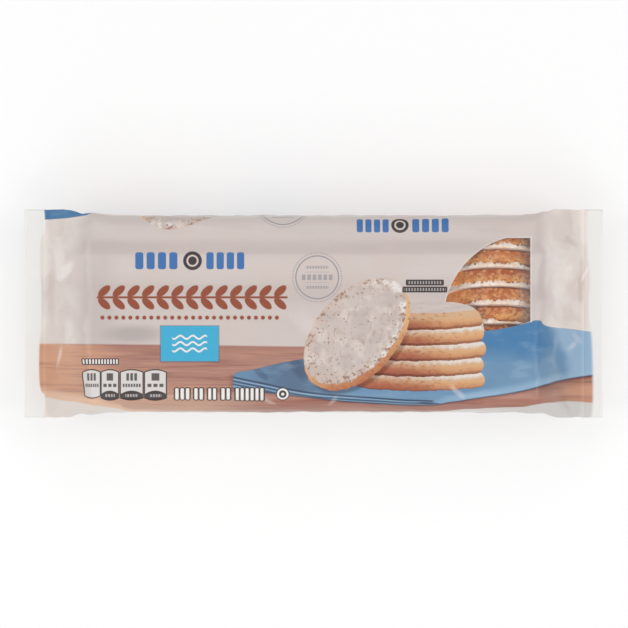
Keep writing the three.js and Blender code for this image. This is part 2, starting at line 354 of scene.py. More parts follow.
class Sheet:
    """The flat film: places on it in millimetres, outlines drawn there, and the print so far."""

    SPAN = 300.0  # millimetres that one unit of the flat film's map stands for
    EDGE = 0.35  # width over which a printed edge goes from full to none
    CUT = 0.1  # the same where a repeated motif is cut off between two of its cells

    def __init__(
        self, graph: Graph, origin: Point = (0.0, 0.0), way: float = 1.0, paint: Paint | None = None
    ) -> None:
        """Reads the film's own map.

        Args:
            graph: The material's graph.
            origin: The place on the flat film from which x and v are measured.
            way: 1, or -1 to read the film upside down.
            paint: The print so far, or None to start from plain film.
        """
        self.graph = graph
        self.paint = paint or Paint(graph, Ink.CREAM)
        flat = graph.node("ShaderNodeUVMap", {"uv_map": FilmTube.MAP}).outputs[0]
        split = graph.node("ShaderNodeSeparateXYZ", None, {0: flat})
        starts = [0.5 + start / self.SPAN for start in origin]
        self.x = (Value(graph, split.outputs[0]) - starts[0]) * (self.SPAN * way)
        self.v = (Value(graph, split.outputs[1]) - starts[1]) * (self.SPAN * way)
        self.flat = graph.stretch(flat, (self.SPAN, self.SPAN, 1.0))

    def lay(self, mask: Value | float, ink: Paint | Ink, mode: str = "MIX") -> None:
        """Lays an ink or a painted area over the print where mask is 1."""
        self.paint.blend(mask, ink, mode)

    def noise(self, along: float, across: float, detail: float = 2.0) -> Value:
        """Returns noise whose waves are along by across millimetres."""
        return self.graph.noise(self.graph.stretch(self.flat, (1 / along, 1 / across, 1)), 1.0, detail)

    def inside(self, distance: Value, edge: float | None = None) -> Value:
        """Returns 1 where a signed distance is negative and 0 where it is positive."""
        half = (edge or self.EDGE) / 2
        return distance.ramp(half, -half)

    def below(self, value: Value | float, limit: Value | float, edge: float | None = None) -> Value:
        """Returns 1 where value is under limit."""
        return self.inside(value - limit, edge)

    def between(self, value: Value, low: float, high: float) -> Value:
        """Returns 1 where value lies from low to high."""
        return self.inside(abs(value - (low + high) / 2) - (high - low) / 2, self.CUT)

    def box(self, across: Value, up: Value, width: float, height: float, round_by: float = 0.0) -> Value:
        """Measures from a rectangle about the origin.

        Args:
            across: The distance to the right of the rectangle's middle.
            up: The distance above its middle.
            width: Its width.
            height: Its height.
            round_by: The radius of its corners.

        Returns:
            The signed distance to its outline, negative inside.
        """
        if round_by == 0.0:
            return (abs(across) - width / 2).most(abs(up) - height / 2)
        out = (abs(across) - (width / 2 - round_by)).most(0.0)
        over = (abs(up) - (height / 2 - round_by)).most(0.0)
        return self.radius(out, over) - round_by

    def box_at(self, x: float, v: float, width: float, height: float, round_by: float = 0.0) -> Value:
        """Returns the signed distance to a rectangle with its middle at x, v."""
        return self.box(self.x - x, self.v - v, width, height, round_by)

    def radius(self, across: Value, up: Value) -> Value:
        """Returns the distance from the origin."""
        return (across * across + up * up).root()

    def oval(self, across: Value, up: Value, half_long: float, half_short: float, turn: float) -> Value:
        """Measures how far out a place lies in an ellipse.

        Args:
            across: The distance to the right of the ellipse's middle.
            up: The distance above its middle.
            half_long: Half its length.
            half_short: Half its width.
            turn: How far its length is turned from +x towards +v, in degrees.

        Returns:
            0 at its middle and 1 on its outline.
        """
        cosine = math.cos(math.radians(turn))
        sine = math.sin(math.radians(turn))
        along = (across * cosine + up * sine) / half_long
        off = (up * cosine - across * sine) / half_short
        return self.radius(along, off)

    def repeat(self, value: Value, start: float, pitch: float) -> tuple[Value, Value]:
        """Splits a line into even cells.

        Args:
            value: The place along the line.
            start: Where the first cell begins.
            pitch: The cells' length.

        Returns:
            The distance from the middle of the cell, and the cell's number.
        """
        turns = (value - start) / pitch
        number = turns.floor()
        return (turns - number - 0.5) * pitch, number

    def course(self, points: Sequence[Point], of: Value | None = None) -> Value:
        """Draws a smooth line.

        Args:
            points: Places that the line goes through, each x and height, from the least x to the greatest.
            of: What stands for x, where it isn't the place along the pack.

        Returns:
            The line's height over x, level beyond its ends.
        """
        spots = np.array(points, dtype=float)
        low = spots.min(axis=0)
        size = spots.max(axis=0) - low
        made = self.graph.node("ShaderNodeFloatCurve")
        curve = made.mapping.curves[0]
        placed = (spots - low) / np.where(size == 0, 1, size)
        for spot, at in zip(curve.points[:], (placed[0], placed[-1])):
            spot.location = at
        for at in placed[1:-1]:
            curve.points.new(*at)
        made.mapping.extend = "HORIZONTAL"
        made.mapping.update()
        self.graph.feed(made.inputs["Value"], ((of or self.x) - low[0]) / size[0])
        return Value(self.graph, made.outputs[0]) * size[1] + low[1]


class Motif(Protocol):
    """One thing of the print."""

    def draw(self, sheet: Sheet) -> None:
        """Lays the motif over the print so far."""


@dataclass(frozen=True)
class Spot:
    """An ellipse on the flat film, with the strength and ink that it is laid with."""

    x: float
    v: float
    half_long: float
    half_wide: float
    turn: float  # of its length from +x towards +v, in degrees
    strength: float
    ink: Ink

    def reach(self, sheet: Sheet) -> Value:
        """Returns 0 at its middle and 1 on its outline."""
        return sheet.oval(sheet.x - self.x, sheet.v - self.v, self.half_long, self.half_wide, self.turn)


@dataclass(frozen=True)
class Boards:
    """The pale boards behind everything: soft bands of light and dusk along the pack."""

    # How dark the bands are at each v: the boards' printed tone, with painted shade along the fold by the
    # upper edge at v 30 to 33, and painted light on the side above it.
    dusk: tuple[Point, ...] = (
        (-16, 0.3), (-5, 0.35), (1, 0.3), (5, 0.45), (10.8, 0.75), (14, 0.4), (19, 0.12), (24, 0.0),
        (27, 0.35), (30, 0.95), (33, 0.75), (37, 0.2), (46, 0.1), (60, 0.4),
    )
    pool: Spot = Spot(-83, -9.5, 15, 4.5, 0, 0.9, Ink.CREAM_SHADE)

    def draw(self, sheet: Sheet) -> None:
        """Lays the bands, and lets them fade towards the ends under painted light, with painted shade and
        sheen there.

        Args:
            sheet: The film and its print so far.
        """
        left = sheet.x.ramp(-101, -113)
        right = sheet.x.ramp(102, 111)
        shade = sheet.course(self.dusk, of=sheet.v) + (sheet.noise(70, 9) - 0.5) * 0.7
        sheet.lay(shade, Ink.CREAM_DUSK)
        sheet.lay(sheet.noise(34, 30).ramp(0.42, 0.7) * 0.35, Ink.CREAM_ROSE)
        # Painted shade on the left, where the front bends down towards the end seal.
        shoulder_shade = sheet.x.ramp(-86, -97) * sheet.x.ramp(-111, -103) * sheet.v.ramp(34, 22)
        sheet.lay(shoulder_shade * (sheet.noise(14, 20) * 0.9 + 0.1), Ink.CREAM_DUSK)
        # Painted light: both sloping ends of the film are painted paler, the right one more.
        sheet.lay(left * 0.8 + right * 0.95, Ink.CREAM_LIGHT)
        # Painted sheen and painted shade: pale and rosy patches of the soft wrinkles on the film's ends.
        wrinkle_shading = sheet.noise(15, 24) + (sheet.noise(6, 9, 3.0) - 0.5) * 0.3
        sheet.lay((left + right) * wrinkle_shading.ramp(0.5, 0.62) * 0.4, Ink.CREAM_ROSE)
        sheet.lay((left + right) * wrinkle_shading.ramp(0.44, 0.36) * 0.4, Ink.SHEEN)
        sheet.lay(self.pool.reach(sheet).ramp(1.3, 0.3) * self.pool.strength, self.pool.ink)


@dataclass(frozen=True)
class Table:
    """The wooden table across the lower front, with a pale field under it."""

    top: tuple[Point, ...] = ((-130, -13.9), (-60, -14.4), (0, -15.2), (130, -15.6))
    bottom: tuple[Point, ...] = (
        (-134, -38.4), (-125, -38.6), (-116.7, -39.8), (-107.5, -41.6), (-98, -43.6), (-89, -46.6),
        (-80, -52), (50, -52), (68.7, -47.6), (94.9, -44.5), (117.9, -40.6), (128.5, -41.2), (134, -41.4),
    )
    edge: float = 0.9  # softness of the table's two edges

    def draw(self, sheet: Sheet) -> None:
        """Lays the wood and the pale field.

        Args:
            sheet: The film and its print so far.
        """
        over = sheet.v - sheet.course(self.bottom)
        sheet.lay(sheet.below(sheet.v, sheet.course(self.top), self.edge), self.wood(sheet, over))
        cool = sheet.x.ramp(60, 100) * sheet.v.ramp(-76, -56)
        pale = Paint(sheet.graph, Ink.PALE_SIDE).blend(cool, Ink.PALE_COOL)
        sheet.lay(sheet.inside(over, self.edge), pale)

    def wood(self, sheet: Sheet, over: Value) -> Paint:
        """Paints wood with its grain along the pack.

        Args:
            sheet: The flat film.
            over: The height above the table's lower edge.

        Returns:
            The wood's colours.
        """
        wood = Paint(sheet.graph, Ink.WOOD)
        # Painted light: the wood is paler towards both ends, where the film slopes away; its grain and the
        # dark strip under its top edge fade there too.
        ends = sheet.x.ramp(-84, -116) + sheet.x.ramp(108, 126) * 0.8
        grain = sheet.noise(46, 2.4, 4.0)
        fine = sheet.noise(22, 0.9, 3.0)
        wood.blend(sheet.noise(70, 10).ramp(0.5, 0.75) * 0.3 + ends * 0.7, Ink.WOOD_LIGHT)
        wood.blend(grain.ramp(0.48, 0.66) * (0.85 - ends * 0.35), Ink.WOOD_DARK)
        wood.blend(fine.ramp(0.54, 0.72) * 0.4, Ink.WOOD_LIGHT)
        haze = over.ramp(5.5, 0.2) * sheet.x.ramp(-60, -84) * (sheet.noise(20, 5) + 0.45)
        worn = sheet.v.ramp(-34, -40) * sheet.x.ramp(-10, -58) * 0.45
        wood.blend(haze + worn, Ink.WOOD_PALE)
        ruddy = sheet.v.ramp(-37, -41) * sheet.x.ramp(-32, -14) * 0.3
        wood.blend(ruddy, Ink.RUSSET)
        return wood.blend(sheet.v.ramp(-19, -14.5) * 0.4 * (1 - ends), Ink.WOOD_DARK)


@dataclass(frozen=True)
class Cloth:
    """A folded blue cloth under the pictured cookies, running out to the right end."""

    upper: tuple[Point, ...] = (
        (-36.7, -28.0), (-34.5, -26.8), (-29.6, -26.1), (-21.2, -24.1), (-11.7, -22.0), (-5.4, -21.0),
        (40, -19), (78.3, -8.1), (88, -6.7), (99.5, -3.9), (102.6, -3.1), (105.5, -4.9), (109.6, -6.2),
        (118, -7.1), (125.3, -8.1), (130, -8.8),
    )
    lower: tuple[Point, ...] = (
        (-38.5, -34.0), (-1.7, -38.7), (20, -41.6), (52.6, -43.4), (61.3, -41.6), (78, -38.6), (94.9, -35.7),
        (114.7, -30.7), (130, -28.4),
    )
    fold: tuple[Point, ...] = ((-37.5, -29.2), (-22.9, -32.2), (-1.7, -36.4), (20, -38.4), (54.9, -40.6))
    layers: tuple[Point, ...] = ((0.0, 0.95), (1.7, 0.85), (3.1, 0.8))  # depth below the fold, and strength
    creases: tuple[Spot, ...] = (
        Spot(-24.5, -27.3, 5.5, 1.8, -42, 0.45, Ink.CLOTH_FOLD),
        Spot(-7, -25, 7, 3.4, -58, 0.45, Ink.CLOTH_FOLD),
    )
    pocket: Spot = Spot(52.6, -42.0, 5.6, 0.9, -4, 0.8, Ink.CLOTH_FOLD)

    def draw(self, sheet: Sheet) -> None:
        """Lays the shadow, the cloth over it, and the cloth's dark lower edge.

        Args:
            sheet: The film and its print so far.
        """
        lower = sheet.course(self.lower)
        under_top = sheet.below(sheet.v, sheet.course(self.upper))
        near = (sheet.v - lower).ramp(-1.8, -0.1) * 0.5
        far = (sheet.v - lower).ramp(-6, -1) * sheet.x.ramp(96, 110) * 0.45
        sheet.lay(under_top * (near + far) * sheet.x.ramp(-40, -36), Ink.WOOD_DARK, "MULTIPLY")
        area = under_top * sheet.below(lower, sheet.v) * sheet.x.ramp(-37.3, -36.6)
        sheet.lay(area, self.woven(sheet, lower))
        edge = abs(sheet.v - lower).ramp(0.5, 0.15) * sheet.x.ramp(-38, -36)
        sheet.lay(edge * 0.75, Ink.CLOTH_FOLD)

    def woven(self, sheet: Sheet, lower: Value) -> Paint:
        """Paints the cloth with its creases and its folded layers.

        Args:
            sheet: The flat film.
            lower: The height of the cloth's lower edge.

        Returns:
            The cloth's colours.
        """
        cloth = Paint(sheet.graph, Ink.CLOTH)
        cloth.blend(sheet.v.ramp(-27, -12) + sheet.noise(30, 12).ramp(0.45, 0.7) * 0.3, Ink.CLOTH_DEEP)
        leaf = sheet.x.ramp(20, -8) * (1 - sheet.x.ramp(-12, -32) * 0.7)
        cloth.blend(leaf, Ink.CLOTH_LEAF)
        for crease in self.creases:
            cloth.blend(crease.reach(sheet).ramp(1.2, 0.5) * crease.strength, crease.ink)
        cloth.blend(sheet.noise(16, 5, 3.0).ramp(0.5, 0.75) * 0.3, Ink.CLOTH_PALE)
        hem = sheet.x.ramp(30, 60) * (sheet.v - lower).ramp(5, 1)
        cloth.blend(hem * 0.6, Ink.CLOTH_PALE)
        # Painted sheen: the cloth is paler towards the right end, where the film slopes away.
        turned = sheet.x + (sheet.v + 10) * 0.4 + (sheet.noise(12, 9) - 0.5) * 6
        cloth.blend(turned.ramp(107.5, 116) * 0.85, Ink.CLOTH_PALE)
        drop = sheet.v - sheet.course(self.fold)
        cloth.blend(sheet.inside(drop, 0.8) * sheet.x.ramp(56, 50), Ink.CLOTH)
        reach = sheet.x.ramp(56, 54)
        for depth, strength in self.layers:
            cloth.blend(abs(drop + (depth + 0.75)).ramp(0.6, 0.1) * reach * 0.4, Ink.CLOTH_PALE)
            cloth.blend(abs(drop + depth).ramp(0.7, 0.2) * reach * strength, Ink.CLOTH_FOLD)
        pocket = sheet.inside(self.pocket.reach(sheet) - 1.0, 0.5)
        return cloth.blend(pocket * self.pocket.strength, self.pocket.ink)


@dataclass(frozen=True)
class PicturedStack:
    """Five iced cookies pictured lying on each other, seen from the side."""

    left: float = 20.0
    right: float = 77.6
    bottom: float = -36.3
    foot: float = -35.6  # where the lowest cookie is cut off by the cloth
    pitch: float = 7.2
    count: int = 5
    middle: float = 48.0  # where the cookies' edges are lowest, seen slightly from above
    bend: float = 0.00225
    crown: Point = (53.8, 3.2)  # the middle of the topmost cookie's face: x, and height over the stack
    crown_size: Point = (22.8, 2.7)
    crown_turn: float = 1.5

    def draw(self, sheet: Sheet) -> None:
        """Lays the stack's side and the iced face on top.

        Args:
            sheet: The film and its print so far.
        """
        out = sheet.x - self.middle
        wobble = (sheet.noise(7, 40) - 0.5) * 1.2 + (sheet.noise(2.4, 3, 3.0) - 0.5) * 1.1
        level = sheet.v - out * out * self.bend + wobble
        top = self.bottom + self.pitch * self.count
        across, number = sheet.repeat(level.least(top - 0.05), self.bottom, self.pitch)
        rise = across / self.pitch + 0.5
        below_crown = sheet.below(level, top - self.pitch, 0.3)
        bulge = across * across * 0.14 + (number * 2.3).sine() * 0.6
        body = sheet.below(sheet.x, self.right + 0.9 - bulge, 0.6) * sheet.below(self.left, sheet.x)
        body = body * sheet.below(level, top + 0.7) * sheet.below(self.foot, level)
        sheet.lay(body, self.side(sheet, rise, below_crown))
        x, lift = self.crown
        crown = sheet.oval(sheet.x - x, sheet.v - (top + lift), *self.crown_size, self.crown_turn)
        iced = Paint(sheet.graph, Ink.ICED)
        iced.blend(sheet.noise(9, 2, 3.0).ramp(0.4, 0.6) * 0.5, Ink.ICED_GREY)
        iced.blend(sheet.noise(1.6, 1.0).ramp(0.64, 0.7) * 0.6, Ink.OAT)
        ragged = (sheet.noise(2.4, 2.4, 3.0) - 0.5) * 0.6
        sheet.lay(sheet.inside(crown + ragged - 1.0, 0.1), iced)

    def side(self, sheet: Sheet, rise: Value, below_crown: Value) -> Paint:
        """Paints the baked edges of the stack with their icing and the dark gaps between them.

        Args:
            sheet: The flat film.
            rise: From 0 at a cookie's lower edge to 1 at its upper edge.
            below_crown: 1 on all but the topmost cookie.

        Returns:
            The stack's colours.
        """
        light = sheet.x.ramp(36, 76)
        patchy = sheet.noise(6, 3.5, 3.0) - 0.5
        side = Paint(sheet.graph, Ink.BAKED)
        side.blend(light * 0.85, Ink.BAKED_PALE)
        side.blend(sheet.x.ramp(57, 30) * 0.65 + patchy * 0.9, Ink.BAKED_DEEP)
        side.blend((rise + patchy * 0.6).ramp(0.56, 0.1) * (0.9 - light * 0.4), Ink.BAKED_DEEP)
        side.blend((rise + patchy * 0.5).ramp(0.5, 0.8) * 0.6, Ink.BAKED_TOP)
        shaded = (rise + patchy * 0.6).ramp(0.8, 0.2) * sheet.x.ramp(61, 46)
        side.blend(shaded * 0.75, Ink.RUSSET)
        specks = sheet.noise(2.4, 1.4, 3.0) + (1 - light) * 0.12
        side.blend(specks.ramp(0.6, 0.76) * 0.65, Ink.RUSSET)
        iced = rise + (sheet.noise(3.2, 8, 3.0) - 0.5) * 0.5 + light * 0.16 - 0.03
        side.blend(iced.ramp(0.74, 0.94) * below_crown * (0.42 + light * 0.33), Ink.ICED_LIGHT)
        side.blend(iced.ramp(0.9, 1.0) * below_crown * (light * 0.6 + 0.1) * 0.7, Ink.WHITE)
        gap = (rise + patchy * 0.1).ramp(0.22, 0.1)
        return side.blend(gap * (1.0 - light * 0.45), Ink.GAP)


@dataclass(frozen=True)
class PicturedCookie:
    """One iced cookie pictured leaning against the stack, its face to the front."""

    x: float = 19.8
    v: float = -9.5
    half_long: float = 30.1
    half_short: float = 18.9
    turn: float = 48.5
    iced_shift: Point = (-0.8, 1.9)  # from the middle of the whole cookie to the middle of its iced face
    iced_less: float = 0.9  # how much smaller the iced face is all round
    shadow_shift: float = 1.5  # how far its shadow falls to the lower right

    def draw(self, sheet: Sheet) -> None:
        """Lays the cookie's shadow, its baked edge, and the iced face with its crumbs.

        Args:
            sheet: The film and its print so far.
        """
        across = sheet.x - self.x
        up = sheet.v - self.v
        ragged = sheet.noise(2.6, 2.6, 4.0) - 0.5
        sway = sheet.noise(12, 12) - 0.5
        size = (self.half_long, self.half_short, self.turn)
        whole = sheet.oval(across, up, *size) + ragged * 0.05 + sway * 0.08
        lean = across * 0.5 - up
        low = lean.ramp(2, 21)
        baked = Paint(sheet.graph, Ink.BAKED_PALE)
        baked.blend(low, Ink.BAKED_GOLD)
        deep = lean.ramp(14, 25) * 0.6 + sheet.noise(4, 3, 3.0).ramp(0.45, 0.65) * low * 0.5
        baked.blend(deep, Ink.BAKED_DEEP)
        baked.blend(sheet.noise(1.4, 1.4, 3.0).ramp(0.56, 0.66) * 0.6, Ink.RUSSET)
        shade = sheet.oval(across - self.shadow_shift, up + self.shadow_shift, *size)
        sheet.lay(shade.ramp(1.05, 0.97) * low * 0.5, Ink.GAP, "MULTIPLY")
        sheet.lay(sheet.inside(whole - 1.0, 0.02), baked)
        right, rise = self.iced_shift
        size = (self.half_long - self.iced_less, self.half_short - self.iced_less, self.turn)
        face = sheet.oval(across - right, up - rise, *size).most(whole)
        sheet.lay(sheet.inside(face + ragged * low * 0.22 - 1.0, 0.03), self.iced(sheet, face, across))

    def iced(self, sheet: Sheet, face: Value, across: Value) -> Paint:
        """Paints the icing.

        Args:
            sheet: The flat film.
            face: From 0 at the cookie's middle to 1 at the icing's edge.
            across: The distance to the right of the cookie's middle.

        Returns:
            The icing's colours.
        """
        rim = face.ramp(0.7, 1.0)
        uneven = sheet.noise(9, 9).ramp(0.36, 0.62)
        iced = Paint(sheet.graph, Ink.ICED)
        iced.blend(sheet.noise(13, 9, 3.0).ramp(0.42, 0.62) * 0.7, Ink.ICED_GREY)
        iced.blend(sheet.noise(6, 7, 3.0).ramp(0.5, 0.66) * 0.7, Ink.ICED_LIGHT)
        iced.blend(sheet.noise(1.7, 4.0, 4.0).ramp(0.54, 0.66) * 0.5, Ink.OAT)
        iced.blend(rim * sheet.noise(5, 5).ramp(0.4, 0.6) * 0.6, Ink.TOASTED)
        bright = face.ramp(0.8, 0.93) * across.ramp(0, 12) * sheet.noise(3.5, 5, 3.0).ramp(0.42, 0.56)
        iced.blend(bright * 0.8, Ink.WHITE)
        crust = sheet.noise(3.4, 3.4, 4.0) + rim * uneven * 0.2
        iced.blend(crust.ramp(0.6, 0.72) * 0.6, Ink.OAT)
        crumbs = sheet.noise(1.5, 1.6, 2.0) + rim * uneven * 0.15 + across.ramp(4, -20) * 0.03
        return iced.blend(crumbs.ramp(0.655, 0.71) * 0.75, Ink.CRUMB)


@dataclass(frozen=True)
class Bars:
    """A run of even upright bars."""

    left: float
    right: float
    level: float
    height: float
    count: int
    ink: Ink
    share: float = 0.68  # of the pitch that a bar fills
    halo: float = 0.0  # width of a dark outline round the bars

    def draw(self, sheet: Sheet) -> None:
        """Lays the bars, and their outline first.

        Args:
            sheet: The film and its print so far.
        """
        pitch = (self.right - self.left) / self.count
        width = pitch * self.share
        across, _ = sheet.repeat(sheet.x, self.left, pitch)
        within = sheet.between(sheet.x, self.left - self.halo / 2, self.right + self.halo / 2)
        shape = sheet.box(across, sheet.v - self.level, width, self.height, min(width, self.height) * 0.3)
        if self.halo:
            sheet.lay(sheet.inside(shape - self.halo) * within, Ink.DARK)
        sheet.lay(sheet.inside(shape) * within, self.ink)


@dataclass(frozen=True)
class Rings:
    """Rings about one point, each with the radius of its middle line, half its width, and its ink."""

    x: float
    v: float
    rings: tuple[tuple[float, float, Ink], ...]

    def draw(self, sheet: Sheet) -> None:
        """Lays the rings, from the back to the front. A ring of radius 0 is a spot."""
        reach = sheet.radius(sheet.x - self.x, sheet.v - self.v)
        for radius, half, ink in self.rings:
            sheet.lay(sheet.inside(abs(reach - radius) - half), ink)


@dataclass(frozen=True)
class Dots:
    """A row of round dots."""

    left: float = -98.5
    right: float = -15.3
    level: float = -1.9
    count: int = 26
    across: float = 1.9

    def draw(self, sheet: Sheet) -> None:
        """Lays the dots."""
        along, _ = sheet.repeat(sheet.x, self.left, (self.right - self.left) / self.count)
        dots = sheet.radius(along, sheet.v - self.level) - self.across / 2
        sheet.lay(sheet.inside(dots, 0.5) * sheet.between(sheet.x, self.left, self.right), Ink.BROWN)


@dataclass(frozen=True)
class GrainSpray:
    """An ear of oats laid along the pack: a stem with grains leaning off it above and below."""

    left: float = -99.5
    right: float = -12.0
    level: float = 7.4
    count: int = 13
    half_long: float = 3.5
    half_short: float = 1.75
    lean: float = 42.0
    offset: float = 2.9
    half_stem: float = 0.5

    def draw(self, sheet: Sheet) -> None:
        """Lays the grains and the stem.

        Args:
            sheet: The film and its print so far.
        """
        within = sheet.between(sheet.x, self.left, self.right)
        up = sheet.v - self.level
        along, _ = sheet.repeat(sheet.x, self.left, (self.right - self.left) / self.count)
        size = (self.half_long, self.half_short)
        for side in (1, -1):
            grain = sheet.oval(along, up - side * self.offset, *size, side * self.lean)
            sheet.lay(sheet.inside(grain - 1.0, 0.2) * within, Ink.BROWN)
        sheet.lay(sheet.inside(abs(up) - self.half_stem) * within, Ink.BROWN)


@dataclass(frozen=True)
class WavyLabel:
    """A blue label with even white waves across it."""

    x: float = -56.9
    v: float = -13.8
    width: float = 26.5
    height: float = 16.2
    rim: float = 0.8  # how much larger its dark outline is
    drop: float = 0.1  # how far the outline is set down
    waves: int = 3
    wave_pitch: float = 2.9
    wave_height: float = 0.75
    wave_length: float = 5.7
    wave_share: float = 0.6  # of the label's width that the waves fill
    stroke: float = 0.8

    def draw(self, sheet: Sheet) -> None:
        """Lays the label, its outline and the waves.

        Args:
            sheet: The film and its print so far.
        """
        size = (self.width + self.rim, self.height + self.rim)
        outline = sheet.box_at(self.x, self.v - self.drop, *size)
        sheet.lay(sheet.inside(outline, 0.5) * 0.6, Ink.CLOTH_FOLD)
        sheet.lay(sheet.inside(sheet.box_at(self.x, self.v, self.width, self.height)), Ink.LABEL)
        along = sheet.x - self.x
        turn = 2 * math.pi / self.wave_length
        wave = (along * turn).sine() * self.wave_height
        slope = (along * turn + math.pi / 2).sine() * (self.wave_height * turn)
        rise = sheet.v - self.v - wave
        block = self.waves * self.wave_pitch / 2
        off, _ = sheet.repeat(rise, -block, self.wave_pitch)
        line = abs(off) / (slope * slope + 1).root() - self.stroke / 2
        ends = sheet.inside(abs(along) - self.width * self.wave_share / 2, 0.6)
        sheet.lay(sheet.inside(line) * ends * sheet.between(rise, -block, block), Ink.WHITE)


@dataclass(frozen=True)
class RingStamp:
    """A round stamp: a ring inside a ring of dots, with plain bars across it."""

    x: float = 1.6
    v: float = 16.6
    ring: float = 9.8
    dotted: float = 11.25
    dots: int = 64
    ring_half: float = 0.3
    dot_radius: float = 0.27
    rule_level: float = 2.4  # height above and below the middle at which the two rules run
    half_rule: float = 5.6
    bars: tuple[tuple[float, float, float], ...] = ((4.6, 10.6, 1.3), (0.0, 15.8, 2.6), (-4.6, 10.6, 1.3))
    strength: float = 0.8

    def draw(self, sheet: Sheet) -> None:
        """Lays both rings, the bars, each a level, width and height, and the rules between them.

        Args:
            sheet: The film and its print so far.
        """
        across = sheet.x - self.x
        up = sheet.v - self.v
        reach = sheet.radius(across, up)
        sheet.lay(sheet.inside(abs(reach - self.ring) - self.ring_half), Ink.GREY)
        along, _ = sheet.repeat(up.math("ARCTAN2", across), 0.0, 2 * math.pi / self.dots)
        dot = sheet.radius(along * self.dotted, reach - self.dotted) - self.dot_radius
        sheet.lay(sheet.inside(dot), Ink.GREY)
        for level, width, height in self.bars:
            bar = sheet.box(across, up - level, width, height, height * 0.3)
            cut, _ = sheet.repeat(across, 0.0, height * 0.95)
            gaps = sheet.inside(abs(cut) - height * 0.33, 0.3)
            sheet.lay(sheet.inside(bar) * gaps * self.strength, Ink.GREY)
        rules = sheet.inside(abs(abs(up) - self.rule_level) - 0.1)
        sheet.lay(rules * sheet.inside(abs(across) - self.half_rule) * self.strength, Ink.GREY)


@dataclass(frozen=True)
class Tablet:
    """A white upright tablet with a dark outline, bars on it, and mostly a dark lens at its foot."""

    x: float
    width: float
    bars: int
    top: float = -25.5
    foot: float = -40.3
    sag: float = 1.3  # how far the rounded top and foot fall away at the sides
    line: float = 0.55  # width of the outline
    lens: bool = True
    lens_height: float = 4.9
    slot_pitch: float = 1.25

    def draw(self, sheet: Sheet) -> None:
        """Lays the outline, the tablet and what is on it.

        Args:
            sheet: The film and its print so far.
        """
        across = sheet.x - self.x
        round_by = across * across * (self.sag / (self.width / 2) ** 2)
        half = (self.top - self.foot) / 2
        up = sheet.v - self.foot - half
        body = (abs(across) - self.width / 2).most(abs(up) - half + round_by)
        sheet.lay(sheet.inside(body), Ink.DARK)
        sheet.lay(sheet.inside(body + self.line), Ink.TABLET)
        if self.lens:
            bowl = up + (half - self.lens_height) + round_by * 1.4
            sheet.lay(sheet.inside(bowl.most(body + 0.3)), Ink.DARK)
            slots, _ = sheet.repeat(across, self.x, self.slot_pitch)
            slot = sheet.box(across, up + (half - 2.6), self.width * 0.52, 1.3).most(abs(slots) - 0.4)
            sheet.lay(sheet.inside(slot) * 0.6, Ink.TABLET)
        for depth, height, share, count in ((3.6, 3.4, 0.5, self.bars), (7.5, 1.5, 0.78, self.bars * 2 + 1)):
            width = self.width * share
            pitch = width / count
            cell, _ = sheet.repeat(across, -width / 2, pitch)
            row = sheet.box(across, up - (half - depth), width - pitch * 0.3, height)
            sheet.lay(sheet.inside(row.most(abs(cell) - pitch * 0.34)) * 0.9, Ink.DARK)


@dataclass(frozen=True)
class SlottedPlate:
    """A small dark plate with light bars on it."""

    x: float
    v: float
    width: float
    height: float = 2.7
    margin: float = 0.7  # from the plate's edge to its bars
    pitch: float = 1.3
    half_bar: float = 0.32

    def draw(self, sheet: Sheet) -> None:
        """Lays the plate and its bars.

        Args:
            sheet: The film and its print so far.
        """
        sheet.lay(sheet.inside(sheet.box_at(self.x, self.v, self.width, self.height, 0.6)), Ink.DARK)
        cut, _ = sheet.repeat(sheet.x, self.x, self.pitch)
        row = sheet.box_at(self.x, self.v, self.width - 2 * self.margin, self.height - 2 * self.margin)
        sheet.lay(sheet.inside(abs(cut) - self.half_bar, 0.3) * sheet.inside(row) * 0.55, Ink.TABLET)


@dataclass(frozen=True)
class Turned:
    """A motif drawn upside down about another origin."""

    motif: Motif
    origin: Point = (-35.8, 55.3)  # where the turned motif's own origin lies on the flat film

    def draw(self, sheet: Sheet) -> None:
        """Lays the motif."""
        self.motif.draw(Sheet(sheet.graph, self.origin, -1.0, sheet.paint))


@dataclass(frozen=True)
class RuledPanel:
    """A white panel in a dark frame with rows of rules, on the side below the front."""

    x: float = 62.0
    v: float = -73.0
    width: float = 62.0
    height: float = 30.0
    rows: int = 7
    rule: float = 0.9
    frame_line: float = 0.6
    margin: float = 2.0  # from the panel's edge to its rules

    def draw(self, sheet: Sheet) -> None:
        """Lays the frame, the panel and its two columns of rules of uneven length.

        Args:
            sheet: The film and its print so far.
        """
        across = sheet.x - self.x
        up = sheet.v - self.v
        panel = sheet.box(across, up, self.width, self.height)
        sheet.lay(sheet.inside(panel), Ink.DARK)
        sheet.lay(sheet.inside(panel + self.frame_line), Ink.TABLET)
        line, number = sheet.repeat(up, -self.height / 2, self.height / self.rows)
        reach = (number * 2.7).sine() * (self.width * 0.06) + self.width * 0.19
        column = abs(abs(across) - self.width / 4)
        rules = sheet.below(abs(line), self.rule / 2) * sheet.below(column, reach)
        sheet.lay(rules * sheet.inside(panel + self.margin) * 0.85, Ink.DARK)


